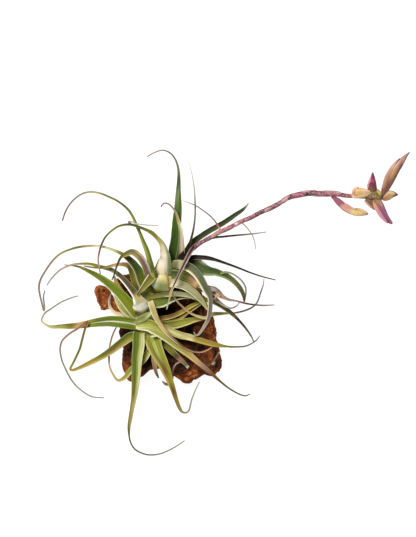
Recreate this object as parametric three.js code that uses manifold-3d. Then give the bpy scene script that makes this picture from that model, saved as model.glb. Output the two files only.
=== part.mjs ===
// An air plant on a piece of bark, lying on the bark's flat back. Millimetres, +Z up.
// The origin is the middle of the flat back. Leaves and bracts follow routes of hand-chosen points.

import * as THREE from "three";
import { mergeVertices } from "three/addons/utils/BufferGeometryUtils.js";
import Module from "manifold-3d";

const wasm = await Module();
wasm.setup();

// Driving dimensions
const BARK_GIRTH = 7; // height at which the bark is widest
const BARK_UNDERCUT = 10; // how far the rounded underside would go on below the girth
const BARK_RELIEF = 1.3; // depth of the bark's furrows
const CLEARANCE = 0.35; // gap between pieces that touch
const BLADE_THICKNESS = 0.8;
const CHANNEL_DEPTH = 0.24; // depth of a leaf's channel, as a share of its width
const BLADE_TURN = 13; // degrees that a blade may bend between two cross-sections
const BLADE_STEP = 9; // longest stretch between two cross-sections
const ROUND_TURN = 16; // the same two limits for stems and spikes
const ROUND_STEP = 8;
const STALK_SIDES = 8;
const SPIKE_SIDES = 10;

// Outlines of the bark's two lumps as seen from above, anticlockwise, and the middle of each
const BARK_LUMPS = [
  {
    middle: [3, 2],
    face: 23,
    facets: [46, 15],
    outline: [
      [47, -26],
      [44.5, -15],
      [42, -3],
      [39.5, 11],
      [34, 23],
      [26, 34],
      [10, 41],
      [-8, 42],
      [-22, 42],
      [-31, 40],
      [-34, 35],
      [-33.5, 30],
      [-29, 24],
      [-30, 14],
      [-31, 0],
      [-28.5, -15],
      [-28, -28],
      [-22, -39],
      [-13, -35],
      [-5, -29],
      [2, -30],
      [10, -34],
      [19.5, -40],
      [27, -37],
      [34, -34],
      [41, -34.5],
    ],
  },
  {
    middle: [-38, 22],
    face: 18,
    facets: [24, 11],
    outline: [
      [-22, 17],
      [-33, 21.5],
      [-36.5, 26],
      [-38.5, 30],
      [-41.5, 32],
      [-46, 32.5],
      [-49.5, 30],
      [-48.5, 24],
      [-46.5, 17.5],
      [-43, 13.7],
      [-36, 11.5],
      [-24, 11],
    ],
  },
];

// Knobs and hollows of the bark's face: x, y, height, radius
const BARK_KNOBS = [
  [15, -30, 3.5, 8],
  [38, -27, 4, 9],
  [34, 6, 2.5, 10],
  [-20, -24, 2.5, 9],
  [-30, 34, 2, 8],
  [6, -14, -2.5, 10],
  [18, 16, -2, 11],
];

// Stems inside the two shoots: x, y, z, diameter
const LOWER_STEM = [
  [-8, -5, 19, 10],
  [-9.5, -1.5, 22.5, 14],
  [-11.5, 4, 26, 15],
  [-12.5, 10, 29, 14],
  [-13.5, 16, 32, 12],
  [-14.5, 19, 34.5, 8],
];
const UPPER_STEM = [
  [-4, 28, 19, 8],
  [-1, 31, 25, 11],
  [5, 38, 31, 12.5],
  [11, 45.5, 36.5, 13],
  [16, 52, 41, 12],
  [18.5, 55, 43.5, 8],
];

// Swollen pale sheath at the crown of the lower shoot: centre and half-sizes
const SHEATH_CENTRE = [-14, 17.8, 33.5];
const SHEATH_HALF = [6.4, 4.8, 5.2];

// Leaves of the lower shoot, root to tip: x, y, z, width
const LOWER_LEAVES = [
  // to the upper left
  [[-12, 13, 28, 6], [-13.5, 16.5, 34, 9], [-17, 23, 41, 5.8], [-22.5, 32, 46, 4.8], [-30, 40.5, 48, 4.2],
    [-37.5, 45.5, 47, 3.4], [-45, 47.5, 45, 2.6], [-52.5, 49.5, 42, 2.1], [-62, 49.5, 37.5, 1.6],
    [-67.5, 48.5, 35, 1.5], [-75, 45, 31, 1.4], [-82.5, 37.5, 26, 1.2], [-85, 33.5, 24, 0.9]],
  [[-14, 8, 27, 7], [-19.5, 14.5, 33, 9.5], [-30, 27, 38.5, 7.5], [-37, 33.5, 40, 6.5], [-43, 38, 40, 5.2],
    [-50.5, 42.5, 38.5, 3.8], [-60, 47, 35, 1.7], [-64, 48, 33, 1.2], [-72, 48.8, 28.5, 0.9]],
  [[-18, 9, 27, 4], [-24, 12, 30.5, 5], [-29, 17, 32, 5], [-32.5, 22.5, 32, 3.2], [-34, 27, 31, 1]],
  [[-17, 12, 28, 4], [-25, 25, 31, 5], [-31, 35, 34, 4.5], [-33.5, 40.5, 35.5, 1.5]],
  [[-18, 7, 25, 4], [-28, 11, 27, 5], [-34, 13, 26, 4], [-37.5, 17, 25, 3], [-38.5, 24, 24.5, 1.5]],
  // to the left and lower left
  [[-12, 4, 28, 6], [-16.5, 4, 32, 8.5], [-26, 5.5, 36.5, 9], [-37.5, 6.5, 38, 8], [-47.5, 5.6, 37, 6.5],
    [-60, 3.5, 33.5, 4.8], [-67.5, 2.8, 30, 4.2], [-75, 2.5, 26, 3.2], [-82.5, 2.3, 21.5, 2.2],
    [-87, 4.5, 18, 1.5], [-89.3, 7, 15.5, 1.3], [-88.7, 9, 14, 1.3], [-86.8, 12.5, 12.5, 1.3],
    [-82.5, 15.5, 11, 1.3], [-75, 20.5, 9, 1.2], [-67.5, 23.8, 8, 1.1], [-62, 25.5, 7.5, 0.9]],
  [[-12, -1, 27, 6], [-16.5, -4, 30, 7], [-22.5, -5.3, 33, 7], [-30, -10.5, 35, 6.2], [-37.5, -15.8, 36, 5.4],
    [-45, -20, 35.5, 4.3], [-52.5, -23.5, 34.5, 3.7], [-60, -27, 33, 2.8], [-66, -29.2, 32, 1.9],
    [-67.3, -28.6, 32, 1.7], [-64.5, -23.3, 33.5, 1.7], [-60.2, -14, 36.5, 1.8], [-58.5, -7.5, 38.5, 1.8],
    [-56, 1.5, 40, 1.8], [-54.2, 6.2, 40.5, 1.7], [-57, 4.4, 39.5, 1.7], [-63, 0.2, 37, 1.7],
    [-67.5, -2.5, 34, 1.6], [-73, -7.5, 30, 1.5], [-74.5, -10.5, 27.5, 1.4], [-75.2, -15, 24.5, 1.4],
    [-74, -22.5, 20, 1.3], [-71, -30, 16, 1.3], [-66, -39, 12, 1.2], [-61.1, -44.3, 9.5, 1.1],
    [-52, -50.3, 7, 1], [-42.5, -51.4, 6, 0.8]],
  [[-9, -1, 24, 4], [-6, -11.3, 28.5, 4.5], [-9.8, -18, 30, 5], [-13.5, -23.3, 30, 5], [-21.8, -30, 28.5, 4.5],
    [-26.3, -35.6, 27.5, 3.4], [-31.5, -38, 27, 2], [-35.3, -33.5, 27, 1.5], [-37.8, -27.8, 27.5, 1.4],
    [-38.4, -21.8, 28, 1.4], [-37.6, -11.3, 29.5, 1.3], [-35.3, -3, 31, 1.2], [-32.7, 2.3, 31.5, 0.9]],
  // downwards
  [[-13, 2, 27, 7], [-15.8, -3, 31, 9], [-16.1, -11.3, 35, 9.2], [-17.4, -22.5, 37.5, 7.9],
    [-18.2, -37.5, 37, 6.4], [-19.6, -51, 33, 4.2], [-21.2, -60, 29.5, 3.3], [-22.5, -67.5, 26, 3],
    [-23.4, -72.8, 23, 2.4], [-23.3, -80, 18.5, 1.3], [-22.5, -84, 15.5, 1.2], [-21, -87.5, 13, 1.2],
    [-18.5, -90.5, 11, 1.2], [-11.5, -93.8, 8, 1.2], [-6, -94.4, 6.5, 1.2], [0, -93.5, 5.5, 1.1],
    [7.5, -90.5, 5, 1.1], [15, -86, 5, 1], [18.4, -83.6, 5.5, 0.8]],
  [[-9, 1, 27, 7], [-6, -6, 31, 10], [-3.8, -12, 34, 10.5], [-1.1, -18.8, 36, 9.4], [1.9, -24.8, 36.5, 8.3],
    [4.5, -30.8, 36, 7], [7.1, -37.5, 34, 5.4], [9.8, -45, 31, 4], [12.2, -52.5, 27, 3.2],
    [15, -59.6, 22, 2.5], [16.9, -62, 20, 1.5], [19.9, -62.3, 17.5, 1.3], [21.8, -60.5, 15.5, 1.3],
    [22.7, -57, 13.5, 1.3], [24, -52, 11, 1.2], [26, -47, 9, 1.1], [28, -42.5, 7.5, 1], [29.6, -39.4, 7, 0.8]],
  [[-9, 0, 25, 5], [1.5, -8, 29, 5.5], [7.5, -15, 30, 5.5], [13.5, -21, 29.5, 5], [18, -24.8, 28.5, 4],
    [21.4, -28.5, 27.5, 2]],
  [[7.5, -15.5, 29.8, 1.8], [14.5, -22.3, 28, 1.5], [15.6, -23.8, 27.5, 1.4], [12, -25.5, 27, 1.3],
    [9.4, -30.8, 25.5, 1.2], [9.8, -36.8, 23, 0.9]],
  [[-9, -2, 23, 4], [-6, -14, 27.5, 4.5], [-5.8, -21, 27, 4.5], [-4.7, -27.8, 25, 4], [-3.5, -32.5, 22.5, 2.5],
    [-1.1, -36.4, 19.5, 0.9]],
  [[-8, -1, 25, 3], [0, -15, 28, 2.5], [4, -27, 27.5, 2.2], [7, -36, 25, 2], [7.5, -40.5, 23, 1.9],
    [4, -41, 21, 1.8], [1.8, -38.8, 20, 0.9]],
  // to the right
  [[-8, 5, 27, 3.5], [0, 8.3, 29.5, 3.4], [7.5, 9.8, 31, 3.4], [15, 12.8, 31.5, 3.4], [22.5, 17.3, 30.5, 3.2],
    [30, 21, 29, 2.2], [32.5, 22, 28.5, 1]],
  [[-6, 5, 26.5, 2.5], [4, 6.5, 28.5, 2.4], [13.5, 7.5, 29, 2.2], [20.3, 12.4, 29, 2], [26.3, 16.5, 28, 1.8],
    [32.3, 20.3, 27, 1]],
  [[-8, 4, 26, 5], [3.8, 3.8, 29.5, 5.5], [11.3, 4.1, 31, 6.2], [18.8, 5.8, 31.5, 5.6], [26.3, 7.7, 31, 3.8],
    [33, 8.5, 30, 1.7], [36.5, 9, 29.5, 0.9]],
  [[-9, 4, 27, 5], [-2, 3, 31, 6], [3, 1.5, 33.5, 5.5], [9, -1.5, 35, 5.2], [15, -3.9, 35.5, 5.4],
    [22.5, -5.6, 35.5, 5.4], [30, -7.9, 34.5, 4.7], [37.5, -10.1, 33, 4.4], [44.3, -11.6, 31, 3.4],
    [50.3, -12.5, 29, 1.5], [57.8, -12.8, 26, 1.3], [64.5, -12.2, 23, 1.2], [69, -10.2, 21, 1.1],
    [72.8, -7.5, 19, 1], [75, -4.4, 17.5, 0.8]],
  [[-14, 3, 28, 6], [-9, 3, 33, 8], [-3.8, 0.8, 36.5, 8.3], [2.3, -3.4, 38, 7.5], [9, -9, 38, 5.7],
    [15.8, -14.3, 37, 5], [22.5, -19.1, 35.5, 5.2], [30, -25.7, 33, 3.8], [35.3, -30, 31, 3.4],
    [40.5, -34.5, 28.5, 2.6], [45, -38.6, 26, 1.7], [52.5, -44.5, 21.5, 1.3], [60.8, -49, 17, 1.1],
    [64.5, -49.7, 15, 1], [67.5, -48.4, 14, 0.8]],
  [[-12, 20, 35, 4], [-7.5, 21.2, 40, 5.5], [-5.3, 17, 42.5, 5.8], [-1.5, 8.3, 43.5, 3.8], [3.8, 0, 43.5, 3.4],
    [7.5, -4.5, 43, 3], [13.5, -9.5, 41.5, 2.5], [17.5, -13, 40, 2], [22.5, -15.5, 38.5, 1.5],
    [26.5, -16.7, 37, 1.3], [30.5, -16.7, 36, 1.2], [35, -15.2, 35.5, 1.1], [38.8, -13, 35.5, 0.8]],
  [[-9, 1, 25, 2.5], [5, -7, 28, 2.2], [20, -16.5, 28, 1.9], [31, -24, 27, 1.7], [35.5, -26.3, 26.5, 1.6],
    [40, -23.5, 26, 1.5], [43.5, -18, 25.5, 1.3], [45, -15.5, 25, 0.9]],
  [[-15, 8, 30, 4], [-12, 11, 35, 4.5], [-9, 13, 38, 3], [-7.5, 14, 39, 1]],
  [[-13, 17, 27, 6], [-9, 20, 30, 8], [-5, 21.2, 33, 9], [-1.5, 22.1, 34.5, 9], [3, 23.5, 35, 7.8],
    [7.5, 24.8, 35, 6.4], [15, 25.9, 34.5, 4.7], [22.5, 25.7, 34, 3.8], [28, 23.8, 33.5, 3], [33, 22.5, 33.2, 2.8],
    [40, 21.5, 33, 3.2], [46.5, 18, 32.5, 2.8], [52, 13.9, 32, 2.6], [57, 9.4, 31.5, 2.2], [63.8, 1.9, 30, 1.7],
    [68.3, -4.5, 28.5, 1.4], [70.5, -9, 27.5, 0.9]],
];

// Leaves of the upper shoot, root to tip: x, y, z, width
const UPPER_LEAVES = [
  // to the upper left
  [[0, 32, 30, 5], [-3, 37, 36, 4.8], [-6, 45, 43, 4.4], [-7.5, 52.5, 48, 4], [-10, 60, 52, 3.8],
    [-13, 67.5, 55, 3], [-16, 75, 57, 2.4], [-22.5, 88.5, 58, 1.9], [-30, 95.5, 56, 1.6], [-37.5, 99.5, 53, 1.5],
    [-47, 103, 49, 1.5], [-56, 103, 44, 1.4], [-64.5, 98, 38, 1.3], [-70.5, 90, 31, 1.2], [-73.5, 82, 24, 1]],
  [[4.5, 34, 32, 8], [3, 39, 40, 10], [3.2, 51, 51, 9.5], [3.8, 61, 58, 6], [0.8, 65.5, 61, 4.5],
    [-2.2, 69, 63, 3], [-6, 73, 65, 2.6], [-10, 75, 66, 2.2], [-15, 77, 67, 1.9], [-22.5, 79, 67, 1.9],
    [-30, 78, 66.5, 1.7], [-34.5, 75.5, 66, 1.6], [-40.5, 70, 65, 1.5], [-44, 63, 63, 1.5], [-46, 55, 60, 1.4],
    [-46, 50, 58, 1.3], [-44.6, 42, 55, 1]],
  [[-4, 28, 26, 5], [-12.5, 34, 38, 6.5], [-16.5, 45, 50, 6.8], [-22.5, 52.5, 56, 5], [-28.5, 57, 58, 3],
    [-38, 61, 58, 1.9], [-45, 62.8, 57, 1.9], [-58.5, 62.5, 53, 1.8], [-67, 60.5, 48, 1.7], [-75, 57, 41, 1.6],
    [-81, 51.5, 34, 1.6], [-86, 44.5, 28, 1.6], [-90, 37.5, 22, 1.6], [-91.2, 31.5, 17, 1.5], [-90.5, 26, 13, 1.4],
    [-89, 19.5, 9, 1.4], [-87.7, 14.3, 7, 1.3], [-87.3, 18, 6.5, 1.2], [-88, 24, 6.5, 1.1], [-87, 29.5, 7, 0.9]],
  [[-5, 28.5, 26, 4], [-12, 27.5, 30, 5], [-15.5, 29.5, 33, 6], [-18, 35, 39, 6.2], [-20.5, 43.5, 46, 6],
    [-23.5, 48, 50, 4.5], [-28.5, 49.3, 52, 3], [-35, 48.5, 53, 2.3], [-41, 47, 53, 1.8], [-49, 46.8, 51.5, 1.4],
    [-57, 48, 48, 0.9]],
  [[-3, 31, 31, 4], [-9, 40.5, 46, 4], [-12.5, 49.5, 58, 4], [-16.5, 55.5, 65, 4.5], [-21, 58.2, 67, 4.8],
    [-25.5, 56.8, 66, 3.4], [-29, 54.5, 63.5, 2], [-32, 48.5, 59, 1.6], [-34.5, 41, 54, 1.4], [-36, 37.5, 51, 1]],
  [[0, 36, 33, 5], [-4, 36.5, 40, 6], [-10, 31.5, 45.5, 6.5], [-14, 27.5, 47, 5], [-17, 24.5, 46.5, 1.5]],
  [[7, 42, 36, 3], [3, 56, 50, 3], [1, 63, 56, 2.4], [0.2, 69, 60, 2], [-3, 76, 62, 1.8],
    [-9.8, 78.3, 62.5, 1.6], [-18, 79.3, 62, 1.4], [-24, 80.3, 61.5, 0.8]],
  // upwards
  [[13, 46, 36, 6], [10, 54, 43, 7.5], [10, 60, 49, 7], [11.5, 67.5, 56, 7.1], [12.2, 75, 61, 7.1],
    [12.8, 82.5, 65, 6.8], [13.5, 90, 68, 6], [13.7, 97.5, 70, 4.9], [13.9, 105, 71, 3.8], [14.2, 112.5, 71, 2.9],
    [13.9, 120, 70, 2.2], [12, 126.8, 68, 1.7], [8.3, 132, 66, 1.4], [2.3, 134.6, 63, 1.2], [-3.8, 133, 60, 1.1],
    [-9.4, 130, 57, 0.9]],
  [[15, 49, 38, 6], [15.5, 56, 46, 6.5], [16.5, 61, 53, 5.3], [15.9, 70.5, 64, 3.8], [15.3, 76.5, 69, 3.5],
    [13.5, 83, 72, 3], [12, 87.8, 73.5, 2.2], [10, 90.8, 74, 1.8], [8.2, 93, 74, 1.6], [6, 94.5, 73.5, 1.5],
    [3.8, 94.9, 73, 1.3], [1.9, 93.8, 72.5, 1.2], [0.8, 91.9, 72, 1]],
  [[15, 50, 39, 4], [17.5, 55.5, 43, 4], [20.8, 62, 48.5, 2.8], [22.9, 66.8, 53, 1.8], [25.3, 76.5, 60, 1.5],
    [26.4, 86.3, 65, 1.3], [26.3, 97.5, 68, 1.3], [25.9, 105, 69, 1.2], [24.8, 112.5, 69, 1.1], [22.9, 121.5, 68, 1],
    [21.4, 126, 67, 0.8]],
  // to the right
  [[16, 52, 39, 4], [19, 57.5, 41.5, 4.2], [24, 65.3, 46, 4.5], [30, 69.8, 49, 4.2], [37.5, 74.6, 51.5, 4.2],
    [44.3, 78.4, 53, 3.8], [49.5, 81.5, 54, 3.6], [56.3, 86.4, 55, 2.8], [62.3, 90.2, 55.5, 1.7],
    [66.5, 95.3, 56, 0.8]],
  [[15, 50, 37, 3.5], [26, 61.5, 43, 2.5], [37.5, 68.5, 47, 1.8], [48.8, 70.1, 49.5, 1.5], [56.3, 70.9, 50, 1.4],
    [69, 72, 50, 1.2], [79.5, 73.4, 49.5, 0.9]],
  [[14, 49, 37, 4], [24.8, 54.4, 43, 3.5], [30, 54.4, 45.5, 3.3], [35.3, 54, 47, 3.2], [41.3, 52.7, 48, 2.4],
    [46.5, 51, 48.5, 2], [52.5, 48.9, 48.5, 1.7], [60, 46.1, 47.5, 1.5], [67.5, 43.1, 46, 1.3],
    [76.5, 40.1, 43, 1.1], [86.6, 37.5, 39, 0.9]],
  [[14, 48, 36, 6], [21, 49.5, 40, 7.5], [27.8, 46.9, 43, 8.6], [33.8, 44.6, 45, 8.2], [37.5, 44, 45.8, 6.8],
    [41.3, 43.5, 46, 5.6], [45, 42.3, 46, 4.9], [49.9, 40.4, 45, 4.5], [54.8, 37.1, 43, 3.4], [60, 31.7, 39.5, 2.8],
    [62.7, 27, 35, 1.9], [63.4, 21, 30, 0.9]],
  [[45, 42.6, 46, 1.8], [50, 43.3, 47.5, 1.5], [54.5, 42, 48, 1.4], [58.5, 39.5, 47.5, 1.3], [62, 36, 45.5, 1.3],
    [64, 32.5, 43, 1.2], [64.5, 29, 40, 1.1], [63.8, 22.5, 34, 0.8]],
  [[14, 46, 37, 6], [20, 49, 45, 6.5], [24, 46.1, 49, 6.8], [28.5, 40.9, 51, 6.4], [31.9, 35.3, 51.5, 6],
    [34.9, 29.3, 50.5, 5.2], [37.4, 24.4, 48.5, 3.8], [37.7, 20.3, 46.5, 3.6], [37.3, 13.5, 43, 3.4],
    [35.9, 7.5, 40.5, 3], [33.2, 2.6, 39, 2.4], [30.6, -1.4, 38.5, 1.9], [28.1, -3.8, 38.5, 1.5],
    [26.3, -3.6, 39, 1.2], [25.5, -1.5, 39.5, 0.9]],
  [[0, 33, 29, 6], [7.5, 34.5, 36, 6.8], [13.5, 34.7, 40, 6], [18.8, 32.6, 42, 5.6], [23.3, 29.8, 42, 5.2],
    [27.4, 26.3, 41.5, 4.9], [30.8, 22.5, 40, 4.1], [33.4, 18.8, 38, 2.6], [35.6, 15, 36, 1.2]],
  [[5, 37, 33, 3], [8.3, 27.8, 41.5, 1.5], [11.3, 23.3, 43, 1.4], [15, 19.1, 42.5, 1.7], [22.5, 12.8, 40, 2.3],
    [30, 9.8, 37, 2.8], [34.5, 9.3, 34.5, 2.6], [39.8, 12.2, 31, 2.3], [45, 12.6, 28, 2], [51.8, 12.5, 25.5, 1.8],
    [58.5, 13.1, 23.5, 1.5], [65.3, 15, 22, 1.4], [69.8, 17.3, 21, 1.3], [72.8, 20.3, 20, 1.2],
    [75.8, 28.5, 18, 1.1], [77.6, 33.8, 16, 1], [78.2, 38.3, 14, 0.8]],
  [[8, 41, 36, 5], [14, 41.5, 42, 5], [20, 40.5, 45, 4], [25, 37, 45, 2], [27, 35, 44.5, 0.9]],
  // the dry curled leaf and its torn lip
  [[16, 47, 37, 4], [29, 39, 42, 5], [36.5, 31, 45, 6.5], [42, 28.5, 44.5, 6.5], [46.5, 25.5, 42.5, 4],
    [52.5, 22.5, 40, 2], [57, 22, 38, 1.6], [63.8, 20, 35.5, 1.5], [69.8, 19.4, 33.5, 1.3], [77.3, 18.8, 31, 1.1],
    [85.9, 19.1, 28.5, 0.8]],
  [[42, 27.5, 44, 2.2], [45, 22.5, 42, 1.8], [48, 18.8, 40, 1.6], [52.5, 16.5, 38.5, 1.5], [57, 18, 38, 1.4],
    [59.5, 20.6, 38, 1]],
];

// The flower scape, from the crown of the upper shoot to the knuckle of the flower head: x, y, z, diameter
const SCAPE = [
  [16, 52, 40.5, 4],
  [20.5, 57, 46, 4.4],
  [24.8, 61.6, 51, 4.5],
  [30, 65, 55.5, 4.5],
  [37.5, 69.5, 59.5, 4.4],
  [45, 73.8, 61.5, 4.2],
  [52.5, 77, 62.5, 3.8],
  [60, 80.7, 63, 3.6],
  [67.5, 84.1, 63.5, 3.6],
  [75, 88.1, 64, 3.7],
  [82.5, 91.9, 64.5, 3.8],
  [90, 96, 65, 3.4],
  [97.5, 100.1, 65.5, 3.3],
  [105, 102, 66, 4],
  [112.5, 102.8, 66.5, 4.5],
  [120, 102.4, 67, 4.7],
  [128, 102, 67.5, 5.2],
  [134, 101.6, 68, 4.4],
  [139, 100.6, 68.5, 3.5],
  [146, 100.4, 69, 3.6],
  [153, 100.5, 69.5, 4.6],
  [160, 101.8, 70, 7],
  [165, 101, 70, 5],
  [167, 100.4, 70, 2.5],
];
// Bracts of the scape that end in threads
const SCAPE_THREADS = [
  [[25.5, 63, 51.5, 3], [22.5, 58.5, 55, 3], [18.8, 51, 57, 2.6], [15.8, 45, 57, 2.3], [12, 36.8, 55.5, 1.9],
    [8.3, 28.5, 52, 1.5], [6.8, 22.5, 48.5, 1.3], [4.9, 15.4, 46, 1]],
  [[45.5, 74.8, 62, 2.4], [44, 77, 64, 1.9], [41.3, 81.4, 66.5, 1.6], [37.5, 85.5, 69, 1.4], [30, 91.1, 71.5, 1.2],
    [26.3, 93.4, 72.5, 1.1], [22.5, 94.9, 73.3, 1], [16.5, 97.1, 74.5, 0.8]],
  [[60, 81.6, 63.3, 2], [65.3, 76.5, 64, 1.4], [67.5, 73.5, 63.5, 1.2], [69.4, 70.5, 62, 1.1], [70.9, 66, 60, 1],
    [71.8, 60.8, 57.5, 0.8]],
];

// Spikes and bracts of the flower head, base to tip: x, y, z, width
const SPIKES = {
  spike_large: {
    colour: 0xa87850,
    flatness: 0.5,
    route: [[166.1, 100.8, 71, 2.8], [167.9, 103.7, 71.5, 4], [169.9, 107.2, 72.5, 5.8], [171.7, 111.6, 74, 7.4],
      [173.6, 116, 75, 8], [175.9, 120.4, 76, 7.8], [179, 124.9, 76.5, 6.2], [182.9, 129.3, 76.5, 3.2],
      [186.8, 133.2, 76.5, 0.9]],
  },
  spike_short: {
    colour: 0xb05068,
    flatness: 0.6,
    route: [[158.6, 103.2, 71, 6.5], [158.7, 105.8, 72.5, 7.4], [158.8, 109.8, 75, 6], [159.1, 114, 77, 4],
      [159.4, 118.2, 78.5, 0.9]],
  },
  spike_mauve: {
    colour: 0xc08098,
    flatness: 0.6,
    route: [[161.8, 99.3, 69.8, 5.4], [162.6, 96.6, 69.3, 6.4], [164.8, 92.2, 68, 6.8], [167, 87.8, 66.5, 6.8],
      [169.6, 83.8, 65, 5.2], [172.3, 81.2, 64.2, 3.8], [174, 79.6, 63.8, 2]],
  },
  spike_side: {
    colour: 0xd8a080,
    flatness: 0.7,
    route: [[128.8, 100.3, 66.5, 2.6], [131, 98.4, 66, 3.4], [133, 96.6, 65.5, 4.2], [138.1, 92.7, 64.3, 5.4],
      [142.5, 90.2, 63.5, 5.4], [147.1, 88.6, 63, 6.4], [152, 88.1, 63, 6], [155.5, 87.8, 63, 3.2],
      [156.8, 87.7, 63, 1.5]],
  },
  bract_cream: {
    colour: 0xe6c998,
    flatness: 0.75,
    route: [[143.4, 101, 71, 2.5], [145.8, 102, 72.5, 7.5], [148.9, 103, 73.5, 9.3], [152.4, 102.6, 74, 7.2],
      [155.5, 103, 74, 5.4], [159.2, 103, 73.8, 1.6]],
  },
  bract_olive: {
    colour: 0xa89858,
    flatness: 0.6,
    route: [[165.2, 101, 69.5, 4], [167.9, 100.6, 69.5, 7.2], [170.5, 100.8, 69.5, 8], [173.6, 101.3, 69.5, 7],
      [176.3, 101.2, 69.5, 4.2], [178.4, 101, 69.5, 0.9]],
  },
  bract_brown: {
    colour: 0x8a5028,
    flatness: 0.7,
    route: [[152, 99.3, 68.5, 3], [155, 96.6, 68, 4], [158, 93.3, 67, 3.6], [160.6, 90.3, 66, 2]],
  },
};

// A form with its corners shared between its faces, so that moving one corner leaves no slit.
function weld(geometry) {
  geometry.deleteAttribute("normal");
  geometry.deleteAttribute("uv");
  return mergeVertices(geometry, 1e-4);
}

// Turns a closed geometry into a solid, and a solid back into a geometry.
function solidOf(geometry) {
  const merged = weld(geometry.clone());
  return new wasm.Manifold(
    new wasm.Mesh({
      numProp: 3,
      vertProperties: new Float32Array(merged.attributes.position.array),
      triVerts: new Uint32Array(merged.index.array),
    }),
  );
}

function geometryOf(solid) {
  const mesh = solid.getMesh();
  const geometry = new THREE.BufferGeometry();
  geometry.setAttribute("position", new THREE.BufferAttribute(mesh.vertProperties, 3));
  geometry.setIndex(new THREE.BufferAttribute(mesh.triVerts, 1));
  const faceted = geometry.toNonIndexed();
  faceted.computeVertexNormals();
  return faceted;
}

const join = (solids) => solids.reduce((whole, next) => whole.add(next));

// A route is a smooth curve through its points, with the fourth number blended along it.
function routeOf(points) {
  const curve = new THREE.CatmullRomCurve3(
    points.map(([x, y, z]) => new THREE.Vector3(x, y, z)),
    false,
    "centripetal",
  );
  const widthAt = (t) => {
    const along = t * (points.length - 1);
    const i = Math.min(Math.floor(along), points.length - 2);
    return THREE.MathUtils.lerp(points[i][3], points[i + 1][3], along - i);
  };
  return { curve, widthAt, spans: points.length - 1 };
}

// Places of the cross-sections: close together where the route bends, far apart where it runs straight.
function stationsOf({ curve, spans }, turn, step) {
  const fine = spans * 8;
  const stations = [0];
  let last = curve.getTangent(0);
  let place = curve.getPoint(0);
  for (let i = 1; i < fine; i++) {
    const t = i / fine;
    const tangent = curve.getTangent(t);
    const point = curve.getPoint(t);
    const bent = THREE.MathUtils.radToDeg(last.angleTo(tangent));
    if (bent > turn || point.distanceTo(place) > step) {
      stations.push(t);
      last = tangent;
      place = point;
    }
  }
  stations.push(1);
  return stations;
}

// Across and out directions at a station: across is level, out is as near to up as the route allows.
function frameAt(curve, t) {
  const along = curve.getTangent(t);
  const across = new THREE.Vector3().crossVectors(along, new THREE.Vector3(0, 0, 1)).normalize();
  const out = new THREE.Vector3().crossVectors(across, along).normalize();
  return { centre: curve.getPoint(t), across, out };
}

// A closed body along a route. It starts as a cylinder, and the section moves each corner of each ring.
function bodyAlong(points, sides, turn, step, section) {
  const route = routeOf(points);
  const stations = stationsOf(route, turn, step);
  const rings = stations.length - 1;
  const geometry = weld(new THREE.CylinderGeometry(1, 1, 1, sides, rings));
  const position = geometry.attributes.position;
  for (let i = 0; i < position.count; i++) {
    const x = position.getX(i);
    const z = position.getZ(i);
    const t = stations[Math.round((position.getY(i) + 0.5) * rings)];
    const { centre, across, out } = frameAt(route.curve, t);
    const [sideways, upwards] = section(x, z, route.widthAt(t) / 2);
    centre.addScaledVector(across, sideways).addScaledVector(out, upwards);
    position.setXYZ(i, centre.x, centre.y, centre.z);
  }
  return solidOf(geometry);
}

// A leaf blade: two thin arms that rise from a keel, with a channel between them.
function bladeSolid(points) {
  return bodyAlong(points, 6, BLADE_TURN, BLADE_STEP, (x, z, half) => {
    const middle = Math.abs(x) < 0.5;
    const sideways = middle ? 0 : Math.sign(x) * half;
    const rise = middle ? 0 : half * 2 * CHANNEL_DEPTH;
    const upper = Math.abs(z) < 0.1 ? 0.5 : Number(z > 0);
    return [sideways, rise + (upper - 1) * BLADE_THICKNESS];
  });
}

// A round or flattened body, such as a stem or a spike.
function roundSolid(points, sides, flatness = 1, grow = 0) {
  return bodyAlong(points, sides, ROUND_TURN, ROUND_STEP, (x, z, half) => [
    x * (half + grow),
    z * (half * flatness + grow),
  ]);
}

// Distance from a lump's middle to its outline, in any direction.
function outlineRadius({ middle, outline }) {
  const curve = new THREE.CatmullRomCurve3(
    outline.map(([x, y]) => new THREE.Vector3(x - middle[0], y - middle[1], 0)),
    true,
    "centripetal",
  );
  const rim = curve.getPoints(720).map((p) => [Math.atan2(p.y, p.x), Math.hypot(p.x, p.y)]);
  rim.sort((a, b) => a[0] - b[0]);
  return (angle) => {
    const after = rim.findIndex(([a]) => a >= angle);
    return rim[after < 0 ? rim.length - 1 : after][1];
  };
}

// Furrows and knobs of the bark, as a height above its plain form.
function barkRelief(x, y, z) {
  let relief = Math.sin(x * 0.42 + Math.sin(y * 0.31) * 1.7) * Math.sin(y * 0.37 + z * 0.5 + 1.1);
  relief += 0.6 * Math.sin(x * 0.21 - y * 0.83 + z * 0.6) * Math.sin(x * 0.71 + y * 0.17 + 2.3);
  relief *= BARK_RELIEF;
  for (const [kx, ky, height, radius] of BARK_KNOBS) {
    relief += height * Math.exp(-((x - kx) ** 2 + (y - ky) ** 2) / (radius * radius * 0.5));
  }
  return relief;
}

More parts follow.
